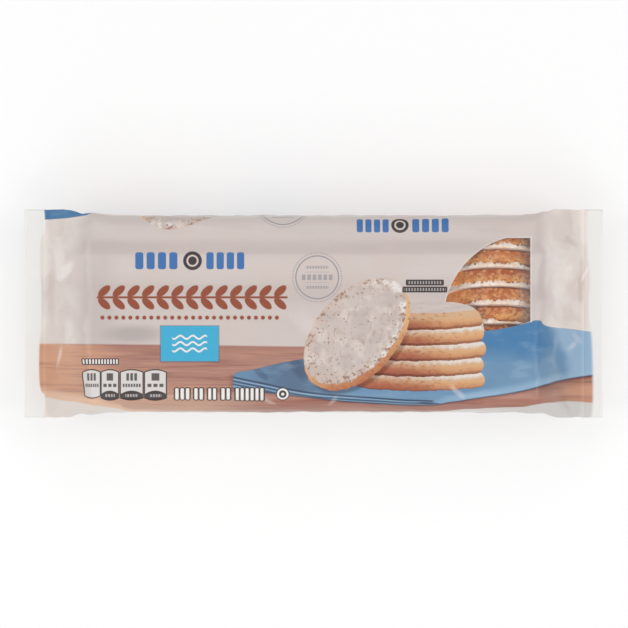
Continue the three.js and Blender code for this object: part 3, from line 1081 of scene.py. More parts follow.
@dataclass(frozen=True)
class Gleams:
    """Painted highlights and painted shade: soft strokes of light and dusk, mostly on the film's slack ends,
    where its wrinkles catch the light.
    """

    low: float = -math.inf  # strokes with their middle from low to high are laid
    high: float = math.inf
    strokes: tuple[Spot, ...] = (
        Spot(-115, 19.6, 8, 3, 52, 0.75, Ink.SHEEN),
        Spot(-117.5, 27, 13, 4, 88, 0.45, Ink.SHEEN),
        Spot(-123.4, 38.4, 4.5, 1.1, -58, 0.8, Ink.SHEEN),
        Spot(-121, 10, 22, 2.2, 90, 0.4, Ink.CREAM_ROSE),
        Spot(-117, -19.5, 5.5, 1.3, 78, 0.45, Ink.SHEEN),
        Spot(-112, -7, 8, 2.6, 84, 0.4, Ink.SHEEN),
        Spot(114, 42, 13, 4.5, 4, 0.6, Ink.SHEEN),
        Spot(116.5, 34.5, 7.5, 2, -36, 0.6, Ink.CREAM_ROSE),
        Spot(123.4, 14, 13, 1.8, 88, 0.65, Ink.CREAM_ROSE),
        Spot(125.2, 18, 4, 0.9, 62, 0.8, Ink.SHEEN),
        Spot(114.5, 11, 17, 5, 86, 0.45, Ink.SHEEN),
        Spot(104.5, 16, 20, 2.8, 89, 0.4, Ink.CREAM_DUSK),
        Spot(111.8, -17, 9, 2, 82, 0.3, Ink.CLOTH_PALE),
        Spot(115, -22.5, 9.5, 2.8, 97, 0.4, Ink.CLOTH_DEEP),
        Spot(119.5, -15, 3.2, 1.5, 48, 0.25, Ink.SHEEN),
        Spot(121.8, -11.5, 3.6, 1.8, -50, 0.22, Ink.SHEEN),
        Spot(-21, -40.5, 5, 1.4, -34, 0.25, Ink.SHEEN),
        Spot(9, -41, 4.5, 1.4, 58, 0.22, Ink.SHEEN),
        Spot(66, -36, 5.5, 1.5, -44, 0.25, Ink.SHEEN),
        Spot(-2, -6, 11, 5, -40, 0.18, Ink.SHEEN),
    )

    def draw(self, sheet: Sheet) -> None:
        """Lays the strokes, with wavy outlines.

        Args:
            sheet: The film and its print so far.
        """
        sway = (sheet.noise(5, 5, 3.0) - 0.5) * 1.1
        for stroke in self.strokes:
            if self.low < stroke.x < self.high:
                sheet.lay((stroke.reach(sheet) + sway).ramp(1.15, 0.25) * stroke.strength, stroke.ink)


@dataclass(frozen=True)
class WindowEdge:
    """A fine pale line along the window's round edge and its two straight edges."""

    width: float = 0.7

    def draw(self, sheet: Sheet) -> None:
        """Lays the line, above the pictured stack only, and stronger at the window's right.

        Args:
            sheet: The film and its print so far.
        """
        window = WindowOutline()
        right, low = window.corner
        across = sheet.x - right
        disc = sheet.radius(across, sheet.v - low) - window.radius
        edge = disc.most(sheet.v - window.top).most(across)
        line = sheet.inside(abs(edge - self.width / 2) - self.width / 2)
        line = line * sheet.below(low - 0.5, sheet.v)
        line = line * sheet.below(window.left_tip - 0.5, sheet.v + across.ramp(-24, -20) * 20)
        sheet.lay(line * (sheet.x.ramp(90, 97) * 0.2 + 0.2), Ink.WHITE)


# ---- Finishes ----


@dataclass(frozen=True)
class PrintedFilm:
    """One part of the print's finish: satin film with its motifs, and bare milky film beyond the print."""

    name: str
    motifs: Sequence[Motif]  # from the back to the front

    # Where the print ends at each side: places round the film, and how far along the pack.
    left_edge: tuple[Point, ...] = (
        (-48, -125.2), (-39, -124.2), (-36, -125.8), (-25, -126.9), (6, -125.8), (29, -126.5), (36, -125.4),
        (40, -124.2), (48, -124.6),
    )
    right_edge: tuple[Point, ...] = (
        (-48, 127.8), (-38, 129.0), (-28, 128.9), (-12, 128.4), (4, 127.0), (16, 127.6), (30, 126.4),
        (48, 126.9),
    )
    roughness: float = 0.28
    smudge_scale: float = 60.0
    ripple_scale: float = 220.0
    ripple_depth: float = 0.00012

    def material(self) -> Material:
        """Builds the finish.

        Returns:
            The material.
        """
        graph = Graph(self.name, Specular_IOR_Level=0.36)
        sheet = Sheet(graph)
        for motif in self.motifs:
            motif.draw(sheet)
        printed = sheet.below(sheet.course(self.left_edge, of=sheet.v), sheet.x, 0.8)
        printed = printed * sheet.below(sheet.x, sheet.course(self.right_edge, of=sheet.v), 1.8)
        sheet.lay(1 - printed, Ink.UNPRINTED)
        gloss = graph.noise(graph.place(), self.smudge_scale, 3.0) * 0.12 + self.roughness
        ripple = graph.bump(graph.noise(graph.place(), self.ripple_scale, 2.0), self.ripple_depth, 0.5)
        return graph.finish(Base_Color=sheet.paint, Roughness=gloss, Normal=ripple)


@dataclass(frozen=True)
class FilmPrint:
    """The whole print, as two finishes for the front and one for each side with its half of the back."""

    upper_from: float = 36.0  # where the two sides' finishes start on the flat film
    lower_from: float = -54.0
    right_from: float = -11.0  # where the front's right part starts

    # The picture's edges where it is repeated, upside down, on the side above the front.
    turned_table: tuple[Point, ...] = (
        (-162, -28), (-152, -34), (-141, -45), (-128, -50), (56, -50), (69, -45), (80, -34), (90, -28),
    )
    turned_cloth: tuple[Point, ...] = (
        (-36.7, -27.6), (-5.4, -21.4), (40, -18), (54, -9), (61, 0), (64.8, 4.5), (67.1, 7.8), (69.4, 9.0),
        (74, 10.4), (80.9, 11.5), (100, 11.8),
    )

    def scenery(self) -> Iterable[Motif]:
        """Yields the motifs that run across the whole front."""
        yield Boards()
        yield Table()
        yield Cloth()

    def front_right(self) -> Iterable[Motif]:
        """Yields the motifs of the front's right part.

        Returns:
            The motifs.
        """
        yield from self.scenery()
        yield PicturedStack()
        yield PicturedCookie()
        yield WindowEdge()
        yield Gleams(low=self.right_from)
        yield RingStamp()
        yield SlottedPlate(51.0, 14.2, 17.5)
        yield SlottedPlate(51.0, 11.0, 20.6)

    def front_left(self) -> Iterable[Motif]:
        """Yields the motifs of the front's left part.

        Returns:
            The motifs.
        """
        yield from self.scenery()
        yield Gleams(high=0.0)
        yield Bars(-82.6, -61.8, 24.2, 7.8, 4, Ink.BLUE, share=0.72)
        yield Rings(-55.6, 24.2, ((0, 4.3, Ink.DARK), (2.365, 0.4, Ink.CREAM)))
        yield Bars(-49.9, -31.2, 24.2, 7.8, 4, Ink.BLUE, share=0.72)
        yield GrainSpray()
        yield Dots()
        yield WavyLabel()
        yield Bars(-105.9, -89.6, -22.1, 2.2, 12, Ink.WHITE, share=0.55, halo=0.45)
        yield Tablet(-101.9, 8.6, 3, foot=-39.2, lens=False)
        yield Tablet(-93.5, 8.6, 1)
        yield Tablet(-83.5, 11.0, 3)
        yield Tablet(-72.6, 10.6, 1)
        for left, right, count in ((-64, -56.6, 3), (-55.2, -50.4, 2), (-48.8, -44.4, 2), (-42.8, -38, 2)):
            yield Bars(left, right, -37.0, 5.4, count, Ink.WHITE, share=0.62, halo=0.5)
        yield Bars(-36.2, -22.6, -37.2, 5.8, 6, Ink.WHITE, share=0.6, halo=0.5)
        yield Rings(-14.2, -37.0, ((0, 3.1, Ink.DARK), (2.2, 0.45, Ink.WHITE), (0, 0.7, Ink.WHITE)))

    def upper_side(self) -> Iterable[Motif]:
        """Yields the motifs of the side above the front, whose picture is upside down.

        Returns:
            The motifs.
        """
        yield Boards()
        yield Turned(Table(bottom=self.turned_table))
        yield Turned(Cloth(upper=self.turned_cloth))
        yield Turned(PicturedStack())
        yield Turned(PicturedCookie())
        yield RingStamp(x=-14.1, v=51.2)
        yield Bars(19.2, 35.0, 41.2, 7.4, 4, Ink.BLUE, share=0.72)
        yield Rings(39.6, 41.2, ((0, 4.0, Ink.DARK), (2.2, 0.4, Ink.CREAM)))
        yield Bars(44.6, 62.6, 41.2, 7.4, 4, Ink.BLUE, share=0.72)

    def lower_side(self) -> Iterable[Motif]:
        """Yields the motifs of the side below the front.

        Returns:
            The motifs.
        """
        yield Boards()
        yield Table()
        yield RuledPanel()
        yield Bars(-24.0, 12.0, -73.0, 16.0, 26, Ink.DARK, share=0.5)

    def materials(self) -> list[Material]:
        """Builds the finishes, in the order that regions() counts them."""
        parts = (self.front_right, self.front_left, self.upper_side, self.lower_side)
        return [PrintedFilm(f"printed_{part.__name__}", tuple(part())).material() for part in parts]

    def regions(self, x: Array, v: Array) -> Array:
        """Returns the number of the finish at each place on the flat film."""
        return np.select([v > self.upper_from, v < self.lower_from, x < self.right_from], [2, 3, 1], 0)


@dataclass(frozen=True)
class SeamFilm:
    """The back seam's finish: pale film, milky where it is welded."""

    roughness: float = 0.25
    haze_scale: float = 40.0

    def material(self) -> Material:
        """Builds the finish.

        Returns:
            The material.
        """
        graph = Graph("seam_film", Specular_IOR_Level=0.4)
        haze = graph.noise(graph.place((1, 4, 1)), self.haze_scale, 2.0)
        paint = Paint(graph, Ink.CREAM_LIGHT).blend(haze.ramp(0.3, 0.7), Ink.UNPRINTED)
        return graph.finish(Base_Color=paint, Roughness=haze * 0.2 + self.roughness)


@dataclass(frozen=True)
class ClearFilm:
    """The window's finish: clear film that shows only by its shine."""

    shine: float = 0.025  # how much it shows where nothing adds to it
    edge_on: float = 0.8  # how much more it shows seen edge-on
    haze_scale: float = 120.0
    haze: float = 0.05
    slack_shine: float = 0.045  # painted highlight: how much more the strip by the window's straight edge shines
    slack_strip: Point = (91.0, 98.0)  # where that strip begins, and where it is at its brightest

    def material(self) -> Material:
        """Builds the finish: mostly see-through, with a thin shine over it.

        Returns:
            The material.
        """
        graph = Graph("clear_film", Base_Color=(0.9, 0.9, 0.9, 1.0), Roughness=0.16)
        fresnel = graph.node("ShaderNodeLayerWeight", None, {"Blend": 0.18}).outputs["Fresnel"]
        haze = graph.noise(graph.place((1.0, 0.3, 1.0)), self.haze_scale, 2.0).ramp(0.35, 0.8) * self.haze
        haze = haze + Sheet(graph).x.ramp(*self.slack_strip) * self.slack_shine
        # The shine is painted: a pale see-through veil, stronger seen edge-on, stands in for the film's
        # reflection.
        return graph.finish(Alpha=Value(graph, fresnel) * self.edge_on + haze + self.shine)


@dataclass(frozen=True)
class BakedBiscuit:
    """Baked oatmeal biscuit: golden brown, darker at the rims, with pale flakes and dark crumbs."""

    base: Rgb = Rgb(198, 121, 69)
    deep: Rgb = Rgb(172, 90, 48)
    pale: Rgb = Rgb(224, 165, 94)
    crumb: Rgb = Rgb(112, 52, 32)
    flake: Rgb = Rgb(238, 190, 134)
    glow: Rgb = Rgb(236, 146, 76)  # painted light: a glow that lifts the shade where the film stands off the cookies and they curve away beneath it
    glow_strength: float = 0.46
    patch_scale: float = 120.0
    streak_scale: float = 520.0
    grain_scale: float = 560.0
    crack_scale: float = 800.0
    crack_depth: float = 0.0004

    def material(self) -> Material:
        """Builds the finish, from numbers that each biscuit's mesh holds and from noise.

        Returns:
            The material.
        """
        constants = {"Roughness": 0.75, "Specular_IOR_Level": 0.25, "Emission_Strength": self.glow_strength}
        graph = Graph("baked_biscuit", **constants)
        place = graph.place()
        paint = Paint(graph, self.base)
        paint.blend(graph.noise(place, self.patch_scale, 3.0).ramp(0.45, 0.7) * 0.7, self.deep)
        paint.blend(graph.attribute("gold") * 0.6, self.pale)
        paint.blend(graph.attribute("toast") * 0.8, self.deep)
        streaks = graph.noise(graph.stretch(place, (0.5, 1.0, 1.0)), self.streak_scale, 3.0, 0.6)
        paint.blend(streaks.ramp(0.54, 0.7) * 0.65, self.deep)
        # Darkest along the very back edge of the rim, where each cookie meets the next.
        paint.blend(graph.attribute("dark_back_edge") * 0.75, self.crumb)
        paint.blend(graph.attribute("flake").ramp(0.3, 0.9) * 0.38, self.flake)
        grains = graph.speckle(graph.stretch(place, (0.8, 1.3, 1.3)), self.grain_scale).ramp(0.27, 0.15)
        paint.blend(grains * 0.85, self.crumb)
        cracks = graph.noise(place, self.crack_scale, 4.0, 0.7)
        paint.blend(cracks.ramp(0.57, 0.69) * 0.7, self.crumb)
        relief = graph.bump(cracks, self.crack_depth, 0.6)
        # Painted light: the biscuit glows on the side that curves away deep under the film, where it would
        # lie in shade.
        unlit = graph.attribute("hollow").ramp(0.05, 0.95)
        glow = Paint(graph, Rgb(0, 0, 0)).blend(unlit, self.glow).blend(grains * 0.8, self.crumb)
        return graph.finish(Base_Color=paint, Normal=relief, Emission_Color=glow)


@dataclass(frozen=True)
class SugarIcing:
    """Dry white icing, thin enough in places for the biscuit to show through."""

    base: Rgb = Rgb(239, 221, 204)
    bright: Rgb = Rgb(255, 249, 243)
    # Painted light: the colour of the icing's glow where it curves away deep under the film.
    glow: Rgb = Rgb(255, 246, 234)
    thin: Rgb = Rgb(226, 178, 136)
    crumb: Rgb = Rgb(140, 80, 50)
    glow_strength: float = 0.3
    patch_scale: float = 190.0
    fleck_scale: float = 420.0
    grit_scale: float = 700.0
    grit_depth: float = 0.0003

    def material(self) -> Material:
        """Builds the finish, from numbers that each icing's mesh holds and from noise.

        Returns:
            The material.
        """
        constants = {"Roughness": 0.55, "Specular_IOR_Level": 0.35, "Emission_Strength": self.glow_strength}
        graph = Graph("sugar_icing", **constants)
        place = graph.place()
        paint = Paint(graph, self.base)
        paint.blend(graph.attribute("thin").ramp(0.3, 1.0) * 0.7, self.thin)
        paint.blend(graph.noise(place, self.patch_scale, 2.0).ramp(0.46, 0.6) * 0.8, self.bright)
        paint.blend(graph.noise(place, self.fleck_scale, 3.0).ramp(0.55, 0.68) * 0.6, self.thin)
        paint.blend(graph.speckle(place, self.fleck_scale).ramp(0.16, 0.06) * 0.6, self.crumb)
        relief = graph.bump(graph.noise(place, self.grit_scale, 3.0), self.grit_depth, 0.5)
        # Painted light: the icing glows where it curves away deep under the film and would lie in shade.
        glow = Paint(graph, Rgb(0, 0, 0)).blend(graph.attribute("hollow").ramp(0.2, 1.0), self.glow)
        return graph.finish(Base_Color=paint, Normal=relief, Emission_Color=glow)


@dataclass(frozen=True)
class StudioFloor:
    """The floor's finish: an even near-white that glows a little, so that shadows stay soft."""

    light: Rgb = Rgb(193, 193, 193)
    dark: Rgb = Rgb(191, 191, 191)
    glow_strength: float = 0.85

    def material(self) -> Material:
        """Builds the finish.

        Returns:
            The material.
        """
        constants = {"Roughness": 0.9, "Specular_IOR_Level": 0.1, "Emission_Strength": self.glow_strength}
        graph = Graph("studio_floor", **constants)
        paint = Paint(graph, self.dark).blend(graph.noise(graph.place(), 3.0, 2.0), self.light)
        return graph.finish(Base_Color=paint, Emission_Color=paint)


# ---- Meshes ----


def smooth(value: Array | float, low: float, high: float) -> Array:
    """Returns 0 at low rising smoothly to 1 at high, and flat beyond them."""
    share = np.clip((np.asarray(value, dtype=float) - low) / (high - low), 0.0, 1.0)
    return share * share * (3 - 2 * share)


def waves(rng: np.random.Generator, count: int, shortest: float, longest: float) -> "WaveField":
    """Returns a random field over the film, of count waves from shortest to longest millimetres long."""
    lengths = np.exp(rng.uniform(math.log(shortest), math.log(longest), count))
    return WaveField(2 * np.pi / lengths, rng.uniform(0, 2 * np.pi, count), rng.uniform(0, 2 * np.pi, count))


@dataclass
class WaveField:
    """A sum of plane waves of even height, scaled to run from about -1 to 1."""

    numbers: Array  # radians for each millimetre
    turns: Array  # the way that each wave runs, in radians from +x
    phases: Array
    peak: float = 1.4  # about how high such a sum rises, over the root of its count

    def at(self, x: Array, v: Array, stretch: float = 1.0) -> Array:
        """Works the field out.

        Args:
            x: Places along the pack.
            v: Places round the film.
            stretch: How far the waves are drawn out along x.

        Returns:
            The field's height at each place.
        """
        total = np.zeros(np.broadcast(x, v).shape)
        for number, turn, phase in zip(self.numbers, self.turns, self.phases):
            total += np.sin(number * (x / stretch * math.cos(turn) + v * math.sin(turn)) + phase)
        return total / math.sqrt(len(self.numbers)) / self.peak


def add_mesh(
    name: str,
    points: Array,
    faces: Sequence[Sequence[int]],
    material: Material,
    stands_for: Sequence[str] = (),
) -> bpy.types.Object:
    """Adds one piece of the pack.

    Args:
        name: The piece's name.
        points: Its vertices, in metres.
        faces: The vertices of each face.
        material: Its finish.
        stands_for: The construction nodes that it replaces.

    Returns:
        The new object, smooth-shaded, riding on the pack.
    """
    mesh = bpy.data.meshes.new(name)
    mesh.from_pydata(points.tolist(), [], [list(map(int, face)) for face in faces])
    mesh.materials.append(material)
    mesh.shade_smooth()
    mesh.update()
    piece = bpy.data.objects.new(name, mesh)
    bpy.context.scene.collection.objects.link(piece)
    if stands_for:
        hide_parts(*stands_for)
    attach(piece, "root")
    LOG.info("%s: %d points, %d faces", name, len(points), len(faces))
    return piece


def add_flat_map(piece: bpy.types.Object, flat: Array) -> None:
    """Gives a piece the map that the print reads.

    Args:
        piece: The piece.
        flat: Each of its points' x and v on the flat film, in millimetres.
    """
    layer = piece.data.uv_layers.new(name=FilmTube.MAP)
    corners = np.empty(len(piece.data.loops), dtype=np.int32)
    piece.data.loops.foreach_get("vertex_index", corners)
    layer.data.foreach_set("uv", (flat[corners] / Sheet.SPAN + 0.5).astype(np.float32).ravel())


def add_numbers(piece: bpy.types.Object, name: str, values: Array) -> None:
    """Stores a number at each of a piece's points, for its finish to read."""
    held = piece.data.attributes.new(name, "FLOAT", "POINT")
    held.data.foreach_set("value", values.astype(np.float32).ravel())


@dataclass
class Crease:
    """A soft fold in the film, along a straight line on the flat film."""

    start: Point
    end: Point
    height: float
    width: float  # off its line, where it has fallen to a third of its height

    def relief(self, x: Array, v: Array) -> Array:
        """Works out the fold, which dies away at its ends.

        Args:
            x: Places along the pack.
            v: Places round the film.

        Returns:
            The fold's height over the film at each place, in millimetres.
        """
        begin = np.array(self.start)
        way = np.array(self.end) - begin
        length = np.hypot(*way)
        along = ((x - begin[0]) * way[0] + (v - begin[1]) * way[1]) / length
        off = ((v - begin[1]) * way[0] - (x - begin[0]) * way[1]) / length
        fade = smooth(along, -0.1 * length, 0.25 * length) * smooth(along, 1.1 * length, 0.7 * length)
        return self.height * fade * np.exp(-np.abs(off / self.width) ** 1.5)


@dataclass
class FilmTube:
    """The film round the pack, from one end seal to the other, as a surface over x and the way round."""

    MAP = "flat_film"  # the name of the map that the print reads

    half_length: float = 133.5
    seal_line: float = 125.0  # how far from the pack's middle the welded ends begin
    seal_level: float = 27.0
    depth: float = 56.4  # the front's height, which leaves room for its relief
    crown: float = 0.6  # how much higher the front's middle is than its long edges
    half_seal: float = 48.0
    half_body: float = 45.5
    front_end: float = 101.0  # where the front and the back leave the body for the seal
    tray_end: float = 105.0
    flare_start: float = 88.0  # where the body widens to the seals' width
    flare_end: float = 114.0
    gusset_depth: float = 20.5
    mouth: float = 0.5  # half the gap that the two films still keep at the seal line
    lowest: float = 0.05  # the back lies flat on the ground
    back_level: float = 0.4
    back_arch: float = 0.4  # how much higher the back's middle is than its edges
    back_inset: float = 3.0
    upper_edge: Point = (44.6, 51.0)  # y and z where each long side turns into the front
    lower_edge: Point = (-45.3, 47.0)
    upper_shoulder: Point = (33.5, 28.7)  # y of the bend by the upper edge, in the body and at a seal
    lower_shoulder: float = -39.5
    crown_rounding: float = 20.0
    fine_step: float = 0.62  # mesh steps along the pack, near its ends and between them
    coarse_step: float = 1.15
    pleats: int = 12  # fine folds that run in from each end seal
    pleat_reach: float = 44.0
    creases: tuple[Crease, ...] = (
        Crease((96.4, -6), (97.2, -32), 0.22, 0.9),
        Crease((110, 37.5), (127, 28.0), 0.45, 1.3),
        Crease((-110, 40), (-126, 33), 0.4, 1.3),
        Crease((-122, 13), (-112, 20.5), 0.4, 1.4),
        Crease((-112, -14), (-119, -26), 0.4, 1.3),
        Crease((-104, 30), (-106, -34), 0.16, 1.6),
        Crease((104.5, 22), (108, -4), 0.2, 1.4),
        Crease((119, 22), (122, 4), 0.35, 1.2),
        Crease((-86, 34), (-88, -8), 0.1, 1.2),
        Crease((60, 39), (100, 36), 0.14, 0.9),
        Crease((-70, 42), (-20, 38), 0.14, 1.0),
    )

    # In the order of corners(): how far from each fold its curve begins, but for the crown's; the mesh steps
    # of each curve; and those of the faces between.
    ROUNDINGS = (0, 5, 8, 5, 5, 0, 4, 7, 8, 5, 0)
    CURVE_STEPS = (5, 8, 6, 8, 40, 6, 6, 8, 5)
    FACE_STEPS = (15, 19, 20, 10, 20, 26, 11, 16, 20, 15)
    WIDEST_CURVE = 0.42  # the most of a face that one curve takes up

    def run(self, distance: Array, start: float) -> Array:
        """Returns how far a film that leaves the body at start has come to the seal line, from 0 to 1."""
        share = np.clip((distance - start) / (self.seal_line - start), 0, 1)
        return 0.88 * smooth(share, 0, 1) + 0.12 * share**2

    def corners(self, distance: Array) -> Array:
        """Places the folds of each cross-section.

        Args:
            distance: How far each section is from the pack's middle.

        Returns:
            Sections by folds by (y, z, rounding), from the middle of the back over +Y, the front and -Y.
        """
        front = self.run(distance, self.front_end)
        tray = self.run(distance, self.tray_end)
        flare = smooth(distance, self.flare_start, self.flare_end)
        tuck = np.clip((distance - self.tray_end) / (self.seal_line - self.tray_end), 0, 1)
        soft = 1 - 0.95 * smooth(distance, self.front_end - 3, self.flare_end)
        top_lip, bottom_lip = self.seal_level + self.mouth, self.seal_level - self.mouth
        gusset = self.part_way(self.half_body, self.half_seal - self.gusset_depth, tuck)
        back_edge = self.part_way(self.half_body - self.back_inset, self.half_seal, tray)
        level = np.full_like(distance, self.seal_level)
        none = np.zeros_like(distance)
        fold = self.part_way(self.depth - self.crown, top_lip, front)
        ground = self.part_way(self.back_level, bottom_lip, tray)
        under = self.part_way(self.back_level + self.back_arch, bottom_lip, tray)
        upper = self.part_way(self.upper_edge[0], self.half_seal, flare)
        lower = self.part_way(self.lower_edge[0], -self.half_seal, flare)
        rows = [
            (none, under),
            (back_edge, ground),
            (gusset, level),
            (upper, self.part_way(self.upper_edge[1], top_lip, front)),
            (self.part_way(*self.upper_shoulder, front), fold),
            (none, self.part_way(self.depth, top_lip, front)),
            (self.lower_shoulder + none, fold),
            (lower, self.part_way(self.lower_edge[1], top_lip, front)),
            (-gusset, level),
            (-back_edge, ground),
            (none, under),
        ]
        spots = np.stack([np.stack(row, axis=-1) for row in rows], axis=1)
        rounding = soft[:, None] * np.array(self.ROUNDINGS)
        rounding[:, len(rows) // 2] = self.crown_rounding
        return np.concatenate([spots, rounding[..., None]], axis=-1)

    @staticmethod
    def shares(steps: int) -> Array:
        """Returns even shares of a line up to 1, as a column, without the 0 at its start."""
        return np.linspace(0, 1, steps + 1)[1:, None]

    @staticmethod
    def part_way(start: float, end: float, share: Array) -> Array:
        """Returns what lies between start and end at share."""
        return start + (end - start) * share

    def stations(self) -> Array:
        """Places the cross-sections along the pack.

        Returns:
            Their x, from the left end seal to the right one.
        """
        inner = np.linspace(0, self.flare_start, round(self.flare_start / self.coarse_step))
        outer_run = self.seal_line - self.flare_start
        outer = np.linspace(self.flare_start, self.seal_line, round(outer_run / self.fine_step))[1:]
        half = np.concatenate([inner, outer])
        return np.concatenate([-half[:0:-1], half])

    def base(self) -> tuple[Array, Array, Array]:
        """Builds the film without its relief.

        Returns:
            The stations' x, the points' y and z as stations by points by 2, and the flat film's v.
        """
        along = self.stations()
        corners = self.corners(np.abs(along))
        spots, rounding = corners[..., :2], corners[..., 2]
        pieces = [spots[:, :1]]
        leave = spots[:, 0]
        for i in range(1, spots.shape[1] - 1):
            corner = spots[:, i]
            arms = []
            for other in (spots[:, i - 1], spots[:, i + 1]):
                length = np.linalg.norm(other - corner, axis=-1, keepdims=True)
                share = np.minimum(rounding[:, i : i + 1] / length, self.WIDEST_CURVE)
                arms.append(corner + (other - corner) * share)
            before, after = arms
            t = self.shares(self.FACE_STEPS[i - 1])
            pieces.append(leave[:, None] + (before - leave)[:, None] * t)
            t = self.shares(self.CURVE_STEPS[i - 1])
            bent = (1 - t) ** 2 * before[:, None] + 2 * t * (1 - t) * corner[:, None] + t**2 * after[:, None]
            pieces.append(bent)
            leave = after
        pieces.append(leave[:, None] + (spots[:, -1] - leave)[:, None] * self.shares(self.FACE_STEPS[-1]))
        section = np.concatenate(pieces, axis=1)
        steps = np.linalg.norm(np.diff(section, axis=1), axis=-1)
        run = np.concatenate([np.zeros((len(along), 1)), np.cumsum(steps, axis=1)], axis=1)
        middle = self.middle_column()
        return along, section, (run + section[..., 0])[:, middle : middle + 1] - run

    def middle_column(self) -> int:
        """Returns the column that runs along the middle of the front."""
        return sum(self.FACE_STEPS[:5]) + sum(self.CURVE_STEPS[:4]) + self.CURVE_STEPS[4] // 2

    def relief(self, x: Array, v: Array) -> Array:
        """Works out the film's waves, creases and pleats, which die away towards the seals.

        Args:
            x: Each point's place along the pack.
            v: Its place round the film.

        Returns:
            How far each point stands off the film's plain form, in millimetres.
        """
        rng = np.random.default_rng(7)
        distance = np.abs(x)
        loose = 1 - smooth(distance, 116.0, self.seal_line)
        end = smooth(distance, 96.0, 108.0) * loose
        flat = np.abs(v)
        side = smooth(flat, 50, 58)
        back = smooth(flat, 84, 94)
        total = 0.26 * waves(rng, 14, 24, 70).at(x, v, 1.6) * (1 - side)
        total += 0.35 * waves(rng, 12, 14, 40).at(x, v, 0.8) * side
        total += 1.0 * end * waves(rng, 14, 13, 34).at(x, v, 1.3)
        total += 0.42 * end * waves(rng, 18, 5, 13).at(x, v, 1.5)
        total += 0.8 * end * (0.35 - np.abs(waves(rng, 8, 14, 30).at(x, v, 1.2)))
        total += 0.12 * waves(rng, 20, 6, 16).at(x, v, 1.2)
        for crease in (*self.creases, *self.end_pleats(rng)):
            total += crease.relief(x, v)
        return total * (1 - 0.9 * back) * loose

    def end_pleats(self, rng: np.random.Generator) -> Iterable[Crease]:
        """Yields the fine folds that run in from both end seals.

        Args:
            rng: Where their random sizes come from.

        Returns:
            The folds.
        """
        for side in (-1, 1):
            even = np.linspace(-self.pleat_reach, self.pleat_reach, self.pleats)
            for place in even + rng.uniform(-3, 3, self.pleats):
                start = (side * (self.seal_line - 1), place)
                end = (side * (self.seal_line - rng.uniform(7, 20)), place * rng.uniform(0.86, 1.0))
                yield Crease(start, end, rng.uniform(-0.4, 0.45), rng.uniform(0.6, 1.3))

    def surface(self) -> tuple[Array, Array]:
        """Builds the film with its relief.

        Returns:
            The points as stations by points by 3, and their x and v on the flat film.
        """
        along, section, v = self.base()
        x = np.broadcast_to(along[:, None], v.shape)
        points = np.concatenate([x[..., None], section], axis=-1)
        across = np.gradient(points, axis=1)
        lengthways = np.gradient(points, axis=0)
        normal = np.cross(lengthways, across)
        normal /= np.maximum(np.linalg.norm(normal, axis=-1, keepdims=True), 1e-9)
        outwards = np.sign(normal[len(along) // 2, self.middle_column(), 2])
        points = points + normal * self.relief(x, v)[..., None] * outwards
        points[..., 1] = np.clip(points[..., 1], -self.half_seal, self.half_seal)
        points[..., 2] = np.maximum(points[..., 2], self.lowest)
        return points, np.stack([x, v], axis=-1)


@dataclass
class WindowOutline:
    """The window's outline on the flat film: part of a disc, cut off above, the picture over one corner."""

    corner: Point = (99.4, -3.6)  # the lower right corner, about which the disc is drawn
    radius: float = 39.9
    top: float = 34.7
    left_tip: float = 5.2  # the height at which the disc meets the pictured stack
    stack_edge: tuple[Point, ...] = (
        (63.6, 5.3), (67.4, 4.7), (72.9, 3.0), (76.2, 0.2), (77.5, -3.8), (78.4, -8.1),
    )
    cloth_edge: tuple[Point, ...] = ((83, -7.6), (88, -6.7), (94, -5.4))
    step: float = 0.8

    def points(self) -> Array:
        """Draws the outline.

        Returns:
            Points at even steps round it, each x and v.
        """
        right, low = self.corner
        angles = [math.pi - math.asin((v - low) / self.radius) for v in (self.top, self.left_tip)]
        turns = np.linspace(*angles, 60)
        arc = np.stack([right + self.radius * np.cos(turns), low + self.radius * np.sin(turns)], axis=1)
        rest = np.array([*self.stack_edge, *self.cloth_edge, self.corner, (right, self.top)])
        path = np.concatenate([arc, rest, arc[:1]])
        run = np.concatenate([[0], np.cumsum(np.hypot(*np.diff(path, axis=0).T))])
        even = np.linspace(0, run[-1], round(run[-1] / self.step), endpoint=False)
        return np.stack([np.interp(even, run, path[:, i]) for i in (0, 1)], axis=1)

    @staticmethod
    def holds(outline: Array, spots: Array) -> Array:
        """Finds which spots lie inside an outline.

        Args:
            outline: The outline's points.
            spots: The spots to test.

        Returns:
            True for each spot that does.
        """
        x, v = spots[:, :1], spots[:, 1:]
        start, end = outline, np.roll(outline, -1, axis=0)
        crosses = (start[:, 1] > v) != (end[:, 1] > v)
        slope = (end[:, 0] - start[:, 0]) / np.where(end[:, 1] == start[:, 1], 1.0, end[:, 1] - start[:, 1])
        left = x < start[:, 0] + (v - start[:, 1]) * slope
        return (crosses & left).sum(axis=1) % 2 == 1


